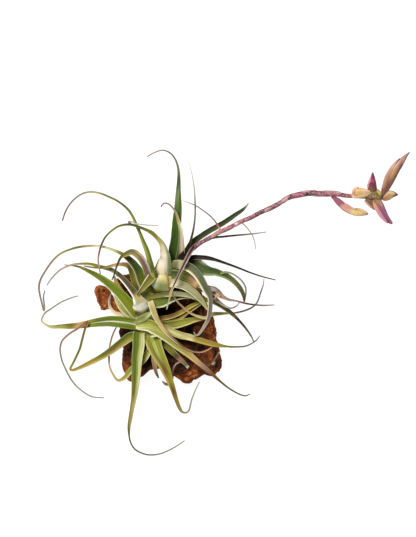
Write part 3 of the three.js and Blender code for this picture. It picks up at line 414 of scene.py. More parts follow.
# Leaves of the upper shoot
UPPER_LEAVES = {
    "tall_left_leaf": {
        "route": [
            (-3, 39, 46.5, 2.6), (-4.2, 41.6, 48, 4.8), (-6, 46, 49, 4.6), (-7.8, 52.5, 50.5, 4.1),
            (-10, 60, 52.5, 3.8), (-13, 67.5, 55, 3), (-16, 75, 57, 2.4), (-22.5, 88.5, 58, 1.9),
            (-30, 95.5, 56, 1.6), (-37.5, 99.5, 53, 1.5), (-47, 103, 49, 1.5), (-56, 103, 44, 1.4),
            (-64.5, 98, 38, 1.3), (-70.5, 90, 31, 1.2), (-73.5, 82, 24, 1),
        ],
        "colours": [
            (0, "dark_olive"), (0.1, "moss"), (0.36, "moss"), (0.46, "dark_olive"), (0.55, "olive"),
            (0.6, "grey_olive"), (0.66, "olive_tan"), (0.78, "mauve_grey"), (1, "smoke"),
        ],
        "left": ("light_green", 0.9, 0.42), "margin": 0.15,
    },
    "notch_leaf": {
        "route": [(-2.6, 38, 31, 5), (-2.4, 43, 34.5, 5.4), (-1.4, 48.5, 37.5, 3.6), (-0.4, 53.5, 40, 1)],
        "colours": [(0, "moss"), (0.6, "moss"), (1, "olive")],
    },
    "pale_based_leaf": {
        "route": [
            (2.6, 38.4, 43, 13), (2.7, 42, 45, 12.6), (3.1, 46.5, 48, 11.2), (3.7, 51, 51.2, 9.2),
            (3.9, 54.5, 54, 7.8), (3.3, 58, 56, 7), (2.6, 61.5, 58.5, 5.6), (1, 65.4, 61, 4.2),
            (-2.1, 69.2, 63, 3), (-6, 73.1, 65, 2.6), (-10, 75, 66, 2.2), (-15, 77, 67, 1.9),
            (-22.5, 79, 67, 1.9), (-30, 78, 66.5, 1.7), (-34.5, 75.5, 66, 1.6), (-40.5, 70, 65, 1.5),
            (-44, 63, 63, 1.5), (-46, 55, 60, 1.4), (-46, 50, 58, 1.3), (-44.6, 42, 55, 1),
        ],
        "channel": [(0, -0.3), (0.12, -0.24), (0.24, 0.18), (1, 0.24)],
        "colours": [
            (0, "cream_tan"), (0.05, "silver_cream"), (0.1, "white_pink"), (0.2, "white_pink"),
            (0.25, "silver_cream"), (0.3, "olive_tan"), (0.36, "olive"), (0.52, "dark_olive"),
            (0.68, "olive"), (0.78, "umber"), (0.84, "rust"), (0.9, "mauve_grey"), (1, "mauve_grey"),
        ],
        "left": ("light_green", 0.1, 0.2), "right": ("grey_green", 0.6, 0.34), "marks": 0.4,
    },
    "bulb_leaf": {
        "route": [
            (-2.6, 27.2, 38, 12), (-1.6, 29.6, 42, 15.6), (-0.1, 33, 45, 17), (1.2, 36.6, 47, 15.8),
            (2, 39.4, 47.4, 14), (2.2, 41, 47.4, 13),
        ],
        "channel": [(0, -0.26), (1, -0.22)],
        "colours": [
            (0, "dark_olive"), (0.12, "dark_olive"), (0.24, "olive"), (0.38, "grey_green"),
            (0.58, "grey_green"), (0.74, "olive_tan"), (0.88, "pale_green"), (1, "cream_tan"),
        ],
        # Its silver left stripe is a painted highlight on the side that faces the lamp
        "left": ("silver", 0.6, 0.8, 0.24), "right": ("olive_tan", 0.45, 1), "margin": 0.1, "marks": 0.4,
    },
    "far_left_leaf": {
        "route": [
            (-4, 28, 26, 5), (-12.5, 34, 38, 6.5), (-16.5, 45, 50, 6.8), (-22.5, 52.5, 56, 5),
            (-28.5, 57, 58, 3), (-38, 61, 58, 1.9), (-45, 62.8, 57, 1.9), (-58.5, 62.5, 53, 1.8),
            (-67, 60.5, 48, 1.7), (-75, 57, 41, 1.6), (-81, 51.5, 34, 1.6), (-86, 44.5, 28, 1.6),
            (-90, 37.5, 22, 1.6), (-91.2, 31.5, 17, 1.5), (-90.5, 26, 13, 1.4), (-89, 19.5, 9, 1.4),
            (-87.7, 14.3, 7, 1.3), (-87.3, 18, 6.5, 1.2), (-88, 24, 6.5, 1.1), (-87, 29.5, 7, 0.9),
        ],
        "colours": [
            (0, "gold_green"), (0.1, "gold_green"), (0.15, "moss"), (0.2, "deep_green"),
            (0.25, "dark_olive"), (0.29, "olive"), (0.33, "pale_green"), (0.4, "silver"),
            (0.43, "olive_tan"), (0.48, "grey_olive"), (0.58, "olive_tan"), (0.66, "mauve_grey"),
            (1, "grey"),
        ],
        "left": ("cream", 0.22, 0.36),
    },
    "olive_arch_leaf": {
        "route": [
            (-5, 28.5, 26, 4), (-12, 27.5, 30, 5), (-15.5, 29.5, 33, 6), (-18, 35, 39, 6.2),
            (-20.5, 43.5, 46, 6), (-23.5, 48, 50, 4.5), (-28.5, 49.3, 52, 3), (-35, 48.5, 53, 2.3),
            (-41, 47, 53, 1.8), (-49, 46.8, 51.5, 1.4), (-57, 48, 48, 0.9),
        ],
        "colours": [
            (0, "gold"), (0.3, "gold_green"), (0.5, "olive"), (0.62, "tan"), (0.8, "olive"),
            (1, "grey_olive"),
        ],
        "right": ("pink_cream", 0.7, 0.48), "middle": ("maroon_brown", 0.2, 0.3),
    },
    "mauve_arch_leaf": {
        "route": [
            (-3, 31, 31, 4.6), (-8.2, 40.5, 46, 5.2), (-11.6, 49.5, 58, 5.4), (-15.8, 55.5, 64, 5.2),
            (-20.8, 58.4, 66.5, 4.8), (-25.5, 56.8, 66, 3.6), (-29, 54.5, 63.5, 2), (-32, 48.5, 59, 1.4),
            (-34.5, 41, 54, 1.1), (-36, 37.5, 51, 0.9),
        ],
        "colours": [
            (0, "olive_tan"), (0.15, "mauve_grey"), (0.46, "mauve_grey"), (0.54, "olive_tan"),
            (0.62, "grey_olive"), (0.68, "olive"), (0.78, "dark_olive"), (1, "dark_olive"),
        ],
        "left": ("olive_tan", 0.4, 0.7, 0.2), "middle": ("mauve_brown", 0.4, 0.56),
        "right": ("silver", 0.5, 0.5), "margin": 0.1,
    },
    "crown_leaf": {
        "route": [
            (-3.6, 42.8, 40, 5), (-5.8, 40.1, 45.6, 7), (-8.4, 36.9, 47.2, 6), (-11.3, 33.4, 47.4, 4.6),
            (-14.5, 29.6, 47.2, 3), (-17.2, 26.2, 46.2, 0.9),
        ],
        "colours": [(0, "moss"), (0.4, "olive"), (0.75, "olive"), (1, "umber")],
        "left": ("pale_green", 0.16, 1), "right": ("cream", 0.24, 1),
    },
    "hidden_tip": {
        "route": [
            (7, 42, 36, 3), (3.5, 52, 48, 3), (3, 60, 55, 2.4), (-2, 68, 60, 2), (-6, 72, 61.5, 1.8),
            (-11, 75, 62, 1.6), (-17, 77.4, 62.5, 1.6), (-22, 79.6, 63.5, 1.5), (-23.2, 80.9, 64.5, 1.4),
            (-21.4, 81.1, 65.5, 1.2), (-18, 79.7, 66.2, 1), (-12, 78.8, 66.6, 0.9), (-6, 78.4, 66, 0.9),
            (-1.4, 78.2, 65, 0.7),
        ],
        "colours": [
            (0, "olive"), (0.4, "olive"), (0.66, "dark_olive"), (0.72, "rust"), (0.78, "pale_grey"),
            (1, "pale_grey"),
        ],
    },
    "upright_leaf": {
        "route": [
            (13, 46, 36, 6), (10, 54, 43, 7.5), (10, 60, 49, 7), (11.5, 67.5, 56, 7.1), (12.2, 75, 61, 7.1),
            (12.8, 82.5, 65, 6.8), (13.5, 90, 68, 6), (13.7, 97.5, 70, 4.9), (13.9, 105, 71, 3.6),
            (14.2, 112.5, 71, 2.6), (13.9, 120, 70, 1.8), (12, 126.8, 68, 1.4), (8.3, 132, 66, 1.2),
            (2.3, 134.6, 63, 1.1), (-3.8, 133, 60, 1), (-9.4, 130, 57, 0.8),
        ],
        "colours": [
            (0, "deep_green"), (0.15, "forest"), (0.4, "bright_green"), (0.55, "grey_green"),
            (0.64, "dark_olive"), (0.72, "grey_olive"), (0.82, "smoke"), (0.92, "mauve_grey"), (1, "smoke"),
        ],
        "right": ("deep_green", 0.9, 0.6), "margin": 0.15,
    },
    "cream_leaf": {
        "route": [
            (15, 49, 38, 6), (15, 55.5, 46, 6.3), (15.8, 61, 53, 5.6), (15.8, 70.5, 64, 3.8),
            (15.3, 76.5, 69, 3), (13.5, 83, 72, 2.3), (12, 87.8, 73.5, 1.7), (10, 90.8, 74, 1.4),
            (8.2, 93, 74, 1.3), (6, 94.5, 73.5, 1.2), (3.8, 94.9, 73, 1.1), (1.9, 93.8, 72.5, 1),
            (0.8, 91.9, 72, 0.8),
        ],
        "colours": [
            (0, "umber"), (0.12, "grey_olive"), (0.22, "silver_cream"), (0.48, "white_pink"),
            (0.6, "silver_cream"), (0.7, "olive_tan"), (0.8, "mauve_grey"), (1, "smoke"),
        ],
        "left": ("grey_green", 0.5, 0.6), "right": ("tan", 0.3, 0.6),
    },
    "dark_whip_leaf": {
        "route": [
            (15, 50, 39, 4), (17.5, 55.5, 43, 4), (20.8, 62, 48.5, 2.8), (22.9, 66.8, 53, 1.8),
            (25.3, 76.5, 60, 1.5), (26.4, 86.3, 65, 1.3), (26.3, 97.5, 68, 1.2), (25.9, 105, 69, 1),
            (24.8, 112.5, 69, 0.8), (22.9, 121.5, 68, 0.7), (21.4, 126, 67, 0.6),
        ],
        "colours": [
            (0, "black_brown"), (0.2, "umber"), (0.34, "umber"), (0.5, "smoke"), (0.62, "smoke"),
            (0.72, "grey"), (1, "pale_grey"),
        ],
        "margin": 0, "marks": 0.3,
    },
    "dark_blade_leaf": {
        "route": [
            (16, 52, 39, 4), (19, 57.5, 41.5, 4.2), (24, 65.3, 46, 4.5), (30, 69.8, 49, 4.2),
            (37.5, 74.6, 51.5, 4.2), (44.3, 78.4, 53, 4), (49.5, 81.5, 54, 3.8), (56.3, 86.2, 55, 3.4),
            (61.6, 89.8, 55.5, 2.6), (64.6, 92.6, 55.8, 1.5), (66.5, 95.3, 56, 0.6),
        ],
        "colours": [
            (0, "umber"), (0.12, "dark_olive"), (0.28, "black_green"), (0.5, "black_green"),
            (0.57, "umber"), (0.66, "black_green"), (0.9, "black_green"), (1, "grey"),
        ],
        "right": ("dark_olive", 0.3, 0.9), "margin": 0, "marks": 0.5,
    },
    "dark_spur_leaf": {
        "route": [
            (15, 50, 37, 3.5), (26, 61.5, 43, 2.5), (37.5, 68.5, 47, 1.8), (48.8, 70.1, 49.5, 1.5),
            (56.3, 70.9, 50, 1.4), (69, 72, 50, 1.2), (79.5, 73.4, 49.5, 0.9),
        ],
        "colours": [(0, "black_brown"), (0.4, "black_brown"), (0.7, "umber"), (1, "grey")],
        "margin": 0, "marks": 0,
    },
    # This leaf shows its shadowed underside: its near-black colour is painted shade
    "shaded_underside_leaf": {
        "route": [
            (14, 49, 37, 4), (24.8, 54.4, 46, 3.8), (30, 54.4, 47.5, 3.6), (35.3, 54, 48.5, 3.4),
            (41.3, 52.7, 49, 2.4), (46.5, 51, 49, 2), (52.5, 48.9, 48.5, 1.7), (60, 46.1, 47.5, 1.5),
            (67.5, 43.1, 46, 1.3), (76.5, 40.1, 43, 1.1), (86.6, 37.5, 39, 0.9),
        ],
        "colours": [(0, "black_brown"), (0.7, "black_brown"), (0.9, "umber"), (1, "smoke")],
        "right": ("smoke", 0.2, 0.35), "margin": 0, "marks": 0,
    },
    "dark_gap_leaf": {
        "route": [(14, 50, 46, 6), (17.5, 54, 49, 8), (21.5, 59.5, 52.5, 6.5), (24.5, 64, 54.5, 3)],
        "colours": [(0, "umber"), (0.3, "black_brown"), (1, "black_brown")],
        "margin": 0, "marks": 0,
    },
    "green_bow_leaf": {
        "route": [
            (14, 48, 36, 6), (21, 50.8, 40, 9.8), (27.8, 48.4, 43, 10.4), (33.8, 45, 45, 8.8),
            (37.5, 44, 45.8, 6.8), (41.3, 43.5, 46, 5.6), (45, 42.3, 46, 4.9), (49.9, 40.4, 45, 4.5),
            (54.8, 37.1, 43, 4), (59.6, 32, 39.5, 3.6), (62.4, 27, 35, 2.8), (63.4, 21, 30, 1.2),
        ],
        "colours": [
            (0, "moss"), (0.15, "forest"), (0.5, "forest"), (0.7, "grey_olive"), (0.85, "grey_olive"),
            (1, "dark_olive"),
        ],
        "left": ("pale_grey", 0.36, 0.3), "right": ("grey_green", 0.5, 0.8), "margin": 0.1,
    },
    "grey_rim_leaf": {
        "route": [
            (45, 42.6, 46, 1.8), (50, 43.3, 47.5, 1.5), (54.5, 42, 48, 1.4), (58.5, 39.5, 47.5, 1.3),
            (62, 36, 45.5, 1.3), (64, 32.5, 43, 1.2), (64.5, 29, 40, 1.1), (63.8, 22.5, 34, 0.8),
        ],
        "colours": [(0, "grey_green"), (0.4, "grey"), (1, "smoke")],
    },
    "drooping_leaf": {
        "route": [
            (7.4, 49.2, 46.4, 5.4), (11.4, 49.3, 49.2, 6.8), (15.2, 49, 50.8, 7.2), (19.5, 48, 51.4, 7.2),
            (24, 45.6, 51.6, 6.9), (28.5, 40.9, 52, 6.4), (31.9, 35.3, 51.8, 6), (34.9, 29.3, 50.5, 5.2),
            (37.4, 24.4, 48.5, 3.8), (37.7, 20.3, 46.5, 3.6), (37.3, 13.5, 43, 3.4), (35.9, 7.5, 40.5, 3),
            (33.2, 2.6, 39, 2.4), (30.6, -1.4, 38.5, 1.9), (28.1, -3.8, 38.5, 1.5), (26.3, -3.6, 39, 1.2),
            (25.5, -1.5, 39.5, 0.9),
        ],
        "channel": [(0, -0.3), (0.1, -0.2), (0.2, 0.16), (1, 0.24)],
        "colours": [
            (0, "shade_olive"), (0.03, "grey_olive"), (0.07, "grey_olive"), (0.11, "sage"),
            (0.15, "forest_grey"), (0.46, "forest_grey"), (0.55, "smoke"), (0.74, "smoke"),
            (0.86, "mauve_grey"), (1, "mauve_grey"),
        ],
        "left": ("sage", 0.3, 0.14, 0.04), "right": ("silver_cream", 0.4, 0.95, 0.12), "margin": 0.15,
        "marks": 0.7,
    },
    "pale_green_leaf": {
        "route": [
            (5.6, 35, 42, 3.6), (8.6, 35.4, 43.8, 6.4), (13, 34.9, 45, 6.8), (18.5, 32.9, 45, 6),
            (23.3, 29.8, 44, 5.4), (27.4, 26.3, 42.5, 4.9), (30.8, 22.5, 40.5, 4.1), (33.4, 18.8, 38, 2.6),
            (35.6, 15, 36, 1.2),
        ],
        "colours": [
            (0, "olive_tan"), (0.14, "silver"), (0.3, "sage"), (0.7, "sage"), (0.85, "pale_green"),
            (1, "cream_tan"),
        ],
        "left": ("olive_tan", 0.3, 0.9), "right": ("cream", 0.25, 0.9), "margin": 0.15,
    },
    "under_strip_leaf": {
        "route": [
            (-8.4, 24.6, 37.6, 2.4), (-5, 25, 38.8, 3.4), (-1.3, 25.8, 39.6, 3.6), (4.4, 26.6, 40, 3.7),
            (12.1, 27.1, 40, 3.7), (19.8, 26.2, 39.2, 3.4), (27.4, 23.8, 37.6, 2.4), (31, 22, 36.6, 1),
        ],
        "colours": [
            (0, "olive"), (0.15, "olive"), (0.35, "grey_olive"), (0.5, "sage"), (0.85, "sage"),
            (1, "olive"),
        ],
        "left": ("dark_olive", 0.3, 0.5), "right": ("pale_green", 0.4, 0.9, 0.3),
    },
    "looping_leaf": {
        "route": [
            (4.6, 43, 48.2, 1.9), (5, 40.6, 48.4, 1.1), (5.6, 35.5, 47.4, 0.8), (6.8, 31, 45.8, 0.9),
            (8.6, 27.3, 44, 1), (11.3, 23.3, 43.2, 1.1), (15, 19.1, 42.5, 1.2), (22.5, 12.8, 40, 1.5),
            (30, 9.8, 37, 1.9), (34.5, 9.3, 34.5, 2.4), (39.8, 11.8, 31, 3), (45, 12.2, 28, 2.4),
            (50.5, 12.4, 26, 1.6), (54.6, 12.6, 24.7, 0.9), (58.5, 13.1, 23.5, 1.4), (65.3, 15, 22, 1.4),
            (69.8, 17.3, 21, 1.3), (72.8, 20.3, 20, 1.2), (75.8, 28.5, 18, 1.1), (77.6, 33.8, 16, 1),
            (78.2, 38.3, 14, 0.8),
        ],
        "colours": [
            (0, "mauve_brown"), (0.03, "tan"), (0.06, "olive_tan"), (0.11, "brown"), (0.16, "dusty_tan"),
            (0.24, "dusty_tan"), (0.34, "tan"), (0.42, "cream_tan"), (0.5, "olive_tan"), (0.56, "olive"),
            (0.62, "olive_tan"), (0.66, "smoke"), (0.9, "smoke"), (1, "pale_grey"),
        ],
    },
    "inner_right_leaf": {
        "route": [
            (5.4, 42.4, 40, 5), (12, 42, 43.6, 6.2), (19, 40.4, 45, 6.8), (24.5, 36.8, 44.5, 6.4),
            (28.6, 32.4, 43.5, 4.6), (31.5, 28.4, 42.5, 1.5),
        ],
        "colours": [
            (0, "shade_olive"), (0.3, "forest"), (0.5, "olive"), (0.64, "mauve_brown"), (0.76, "tan"),
            (0.88, "umber"), (1, "dark_olive"),
        ],
        "right": ("moss", 0.4, 0.56), "left": ("grey_green", 0.3, 0.5), "margin": 0.1,
    },
}

# The dry curled leaf and its torn lip
DRY_LEAF = {
    "dry_blade": {
        "route": [
            (16, 45, 37, 4), (29, 35.4, 42, 5), (35.6, 30.6, 44.6, 6), (40.2, 29.2, 45.5, 7),
            (43.4, 27.6, 44.6, 5.4), (46, 25.5, 43.2, 3.4), (49, 23.8, 41.2, 2.4), (52.5, 22.5, 40, 1.8),
            (57, 21.8, 38, 1.4), (63.8, 20, 35.5, 1.4), (69.8, 19, 33.5, 1.3), (77.3, 18.4, 31, 1.2),
            (85.9, 18.7, 28.5, 0.8),
        ],
        "colours": [
            (0, "smoke"), (0.25, "grey"), (0.32, "pale_grey"), (0.42, "mauve_grey"), (0.48, "pink_tan"),
            (0.56, "mauve_grey"), (0.62, "grey"), (0.68, "maroon_brown"), (0.76, "umber"), (0.86, "smoke"),
            (1, "grey"),
        ],
        "left": ("umber", 0.22, 0.56), "marks": 0.6,
    },
    "torn_lip": {
        "route": [
            (38.4, 26.2, 43.4, 3.4), (41.2, 23.6, 42.8, 3.4), (44.2, 21.2, 41.5, 2.4),
            (47.4, 18.8, 39.8, 1.7), (50.4, 17.2, 38.7, 1.5), (53, 16.3, 38.3, 1.1), (57, 17.6, 38, 1),
            (59.5, 20.4, 38, 0.8),
        ],
        "colours": [
            (0, "mauve_grey"), (0.3, "mauve_grey"), (0.6, "pale_grey"), (0.75, "smoke"), (1, "grey"),
        ],
        "left": ("smoke", 0.3, 0.5), "marks": 0.6,
    },
    "dry_knob": {
        "route": [(38, 28.8, 47.2, 2), (40.4, 27.6, 47.8, 3), (42.8, 26.2, 47.4, 3), (45, 24.8, 46, 1.6)],
        "colours": [
            (0, "mauve_grey"), (0.3, "black_brown"), (0.42, "umber"), (0.6, "tan"), (1, "pink_tan"),
        ],
        "marks": 0.3,
    },
    "dry_ring": {
        "route": [
            (38.4, 25.8, 47.8, 0.9), (39.6, 26.6, 48, 0.9), (41.4, 25.8, 48, 0.9), (41.4, 24.2, 47.9, 0.9),
            (39.6, 23.4, 47.8, 0.9), (38.4, 24.4, 47.6, 0.8),
        ],
        "colours": [(0, "cream_tan"), (1, "mauve_grey")],
    },
}

# Channel of a bract that arches outwards
BRACT_ARCH = [(0, -0.3), (1, -0.3)]

# The scape's stalk as x, y, z and diameter
SCAPE = {
    "route": [
        (16, 52, 40.5, 3.6), (20.5, 57, 46, 3.6), (24.8, 61.6, 51, 3.2), (30, 65, 55.5, 3),
        (37.5, 69.3, 59.5, 3), (45, 73.4, 61.5, 3.3), (52.5, 77, 62.5, 3.2), (60, 80.7, 63, 3),
        (67.5, 84.1, 63.5, 3.1), (75, 87.8, 64, 3.2), (82.5, 91.3, 64.5, 3.5), (90, 95.3, 65, 3.5),
        (97.5, 99.7, 65.5, 3.6), (105, 101.6, 66, 4.2), (112.5, 102.4, 66.5, 4.3), (120, 102.2, 67, 4.2),
        (128, 102, 67.5, 4.3), (134, 101.6, 68, 3.7), (139, 100.6, 68.5, 3.2), (146, 100.3, 69, 3.2),
        (153, 100.4, 69.5, 4.4), (160, 101.2, 70, 7.4), (164.4, 100.4, 70, 6), (166.8, 100, 70, 2.8),
    ],
    "colours": [
        (0, "black_brown"), (0.12, "scape_dark"), (0.13, "scape_bright"), (0.155, "scape_brown"),
        (0.2, "scape_brown"), (0.22, "scape_tan"), (0.235, "scape_tan"), (0.26, "scape_rose"),
        (0.3, "scape_pink"), (0.33, "scape_pink"), (0.34, "scape_pale"), (0.355, "scape_pink"),
        (0.41, "scape_pink"), (0.435, "scape_mauve"), (0.46, "scape_dark"), (0.468, "scape_pale"),
        (0.475, "scape_brown"), (0.545, "scape_brown"), (0.556, "scape_pale"), (0.57, "scape_pale"),
        (0.59, "scape_bright"), (0.655, "scape_bright"), (0.665, "scape_dark"), (0.685, "scape_dark"),
        (0.69, "scape_brown"), (0.73, "scape_brown"), (0.745, "scape_pink"), (0.78, "scape_pink"),
        (0.8, "scape_rose"), (0.82, "scape_mauve"), (0.855, "rust"), (0.885, "scape_mauve"),
        (0.92, "brown"), (0.95, "knuckle_olive"), (0.98, "knuckle_olive"), (1, "umber"),
    ],
}
# Bracts that wrap the stalk: where each starts and ends in x, which side its tip leans to, its colours
# from start to end, and the stripes along its upper and lower margin. The lower stripes are mostly dark,
# painted shade on the stalk's shadow side
SCAPE_WRAPS = [
    (25.6, 33, -1, ("scape_dark", "scape_mauve", "scape_brown"),
     ("scape_brown", 0.3, 1), ("scape_dark", 1, 0.8)),
    (32, 43, 1, ("scape_brown", "scape_brown", "scape_tan"),
     ("scape_tan", 0.3, 1), ("scape_dark", 0.35, 1)),
    (39.5, 47.5, -1, ("scape_tan", "scape_tan", "scape_rose"),
     ("scape_tan", 0.3, 1), ("scape_brown", 0.4, 1)),
    (46, 57, 1, ("scape_rose", "scape_rose", "scape_pink"),
     ("scape_pale", 0.2, 1), ("scape_dark", 0.35, 1)),
    (54.8, 66, -1, ("white_pink", "scape_rose", "scape_pink"),
     ("scape_brown", 0.3, 1), ("scape_mauve", 0.35, 1)),
    (63, 74, 1, ("scape_pale", "scape_pink", "scape_dark"),
     ("scape_rose", 0.3, 0.8), ("scape_mauve", 0.5, 1)),
    (70.5, 79, -1, ("scape_mauve", "scape_dark", "scape_dark"),
     ("scape_bright", 0.4, 0.7), ("scape_dark", 0.8, 1)),
    (78, 92, 1, ("scape_pale", "scape_brown", "scape_brown"),
     ("scape_brown", 0.4, 1), ("scape_dark", 0.25, 1)),
    (90.6, 98, -1, ("scape_pale", "scape_pale", "scape_pink"),
     ("scape_brown", 0.3, 1), ("scape_brown", 0.3, 1)),
    (94.5, 110, 1, ("scape_dark", "scape_bright", "scape_pink"),
     ("scape_dark", 0.7, 0.3), ("scape_brown", 0.25, 1)),
    (106, 116, -1, ("scape_mauve", "scape_dark", "scape_mauve"),
     ("scape_pale", 0.5, 0.8), ("scape_mauve", 0.3, 1)),
    (113.6, 125, 1, ("scape_brown", "scape_brown", "scape_pink"),
     ("scape_mauve", 0.3, 1), ("scape_tan", 0.3, 1)),
    (121, 137, -1, ("scape_pink", "scape_rose", "scape_pale"),
     ("mauve_grey", 0.35, 0.8), ("maroon", 0.4, 1)),
]
SCAPE_THREADS = {
    "long_thread": {
        "route": [
            (26.4, 63.6, 52.5, 2.4), (23.4, 59.5, 56, 3.4), (19.4, 52, 57.6, 3.1), (15.9, 45, 57, 2.4),
            (12, 36.8, 55.5, 1.9), (8.3, 28.5, 52, 1.5), (6.8, 22.5, 48.5, 1.1), (4.9, 15.4, 46, 0.8),
        ],
        "colours": [
            (0, "scape_brown"), (0.3, "mauve_grey"), (0.55, "mauve_grey"), (0.7, "cream_tan"), (0.8, "tan"),
            (0.88, "sage"), (1, "pale_grey"),
        ],
        "middle": ("scape_dark", 0.6, 0.72), "marks": 0.5,
    },
    "left_thread": {
        "route": [
            (45.5, 74.8, 62, 1.8), (44, 77, 64, 1.4), (41.3, 81.4, 66.5, 1.1), (37.5, 85.5, 69, 1),
            (30, 91.1, 71.5, 0.9), (26.3, 93.4, 72.5, 0.9), (22.5, 94.9, 73.3, 0.8),
            (16.5, 97.1, 74.5, 0.6),
        ],
        "colours": [
            (0, "pink_cream"), (0.12, "mauve_brown"), (0.3, "smoke"), (0.7, "smoke"), (1, "pale_grey"),
        ],
        "margin": 0, "marks": 0.3,
    },
    "right_thread": {
        "route": [
            (60, 81.6, 63.3, 1.2), (65.3, 76.5, 64, 0.9), (67.5, 73.5, 63.5, 0.8), (69.4, 70.5, 62, 0.8),
            (70.9, 66, 60, 0.7), (71.8, 60.8, 57.5, 0.6),
        ],
        "colours": [(0, "mauve_grey"), (1, "pale_grey")],
        "margin": 0,
    },
    "knuckle_bract": {
        "route": [
            (157.6, 102.4, 73.4, 2.4), (159.8, 102.2, 74, 4.6), (162.4, 101.6, 73.8, 4.4),
            (164.8, 101, 73, 2),
        ],
        "channel": BRACT_ARCH,
        "colours": [(0, "knuckle_olive"), (0.5, "knuckle_olive"), (0.8, "knuckle_brown"), (1, "umber")],
        "right": ("umber", 0.4, 1), "marks": 0.4,
    },
    "knuckle_strip": {
        "route": [
            (162, 105.2, 72.6, 2), (163.2, 103.6, 73.6, 3.2), (164.6, 101.6, 73.8, 3.2),
            (165.6, 99.8, 73, 1.4),
        ],
        "channel": BRACT_ARCH,
        "colours": [(0, "spike_olive"), (0.5, "olive_tan"), (1, "knuckle_olive")],
        "right": ("knuckle_olive", 0.4, 1), "marks": 0.4,
    },
}

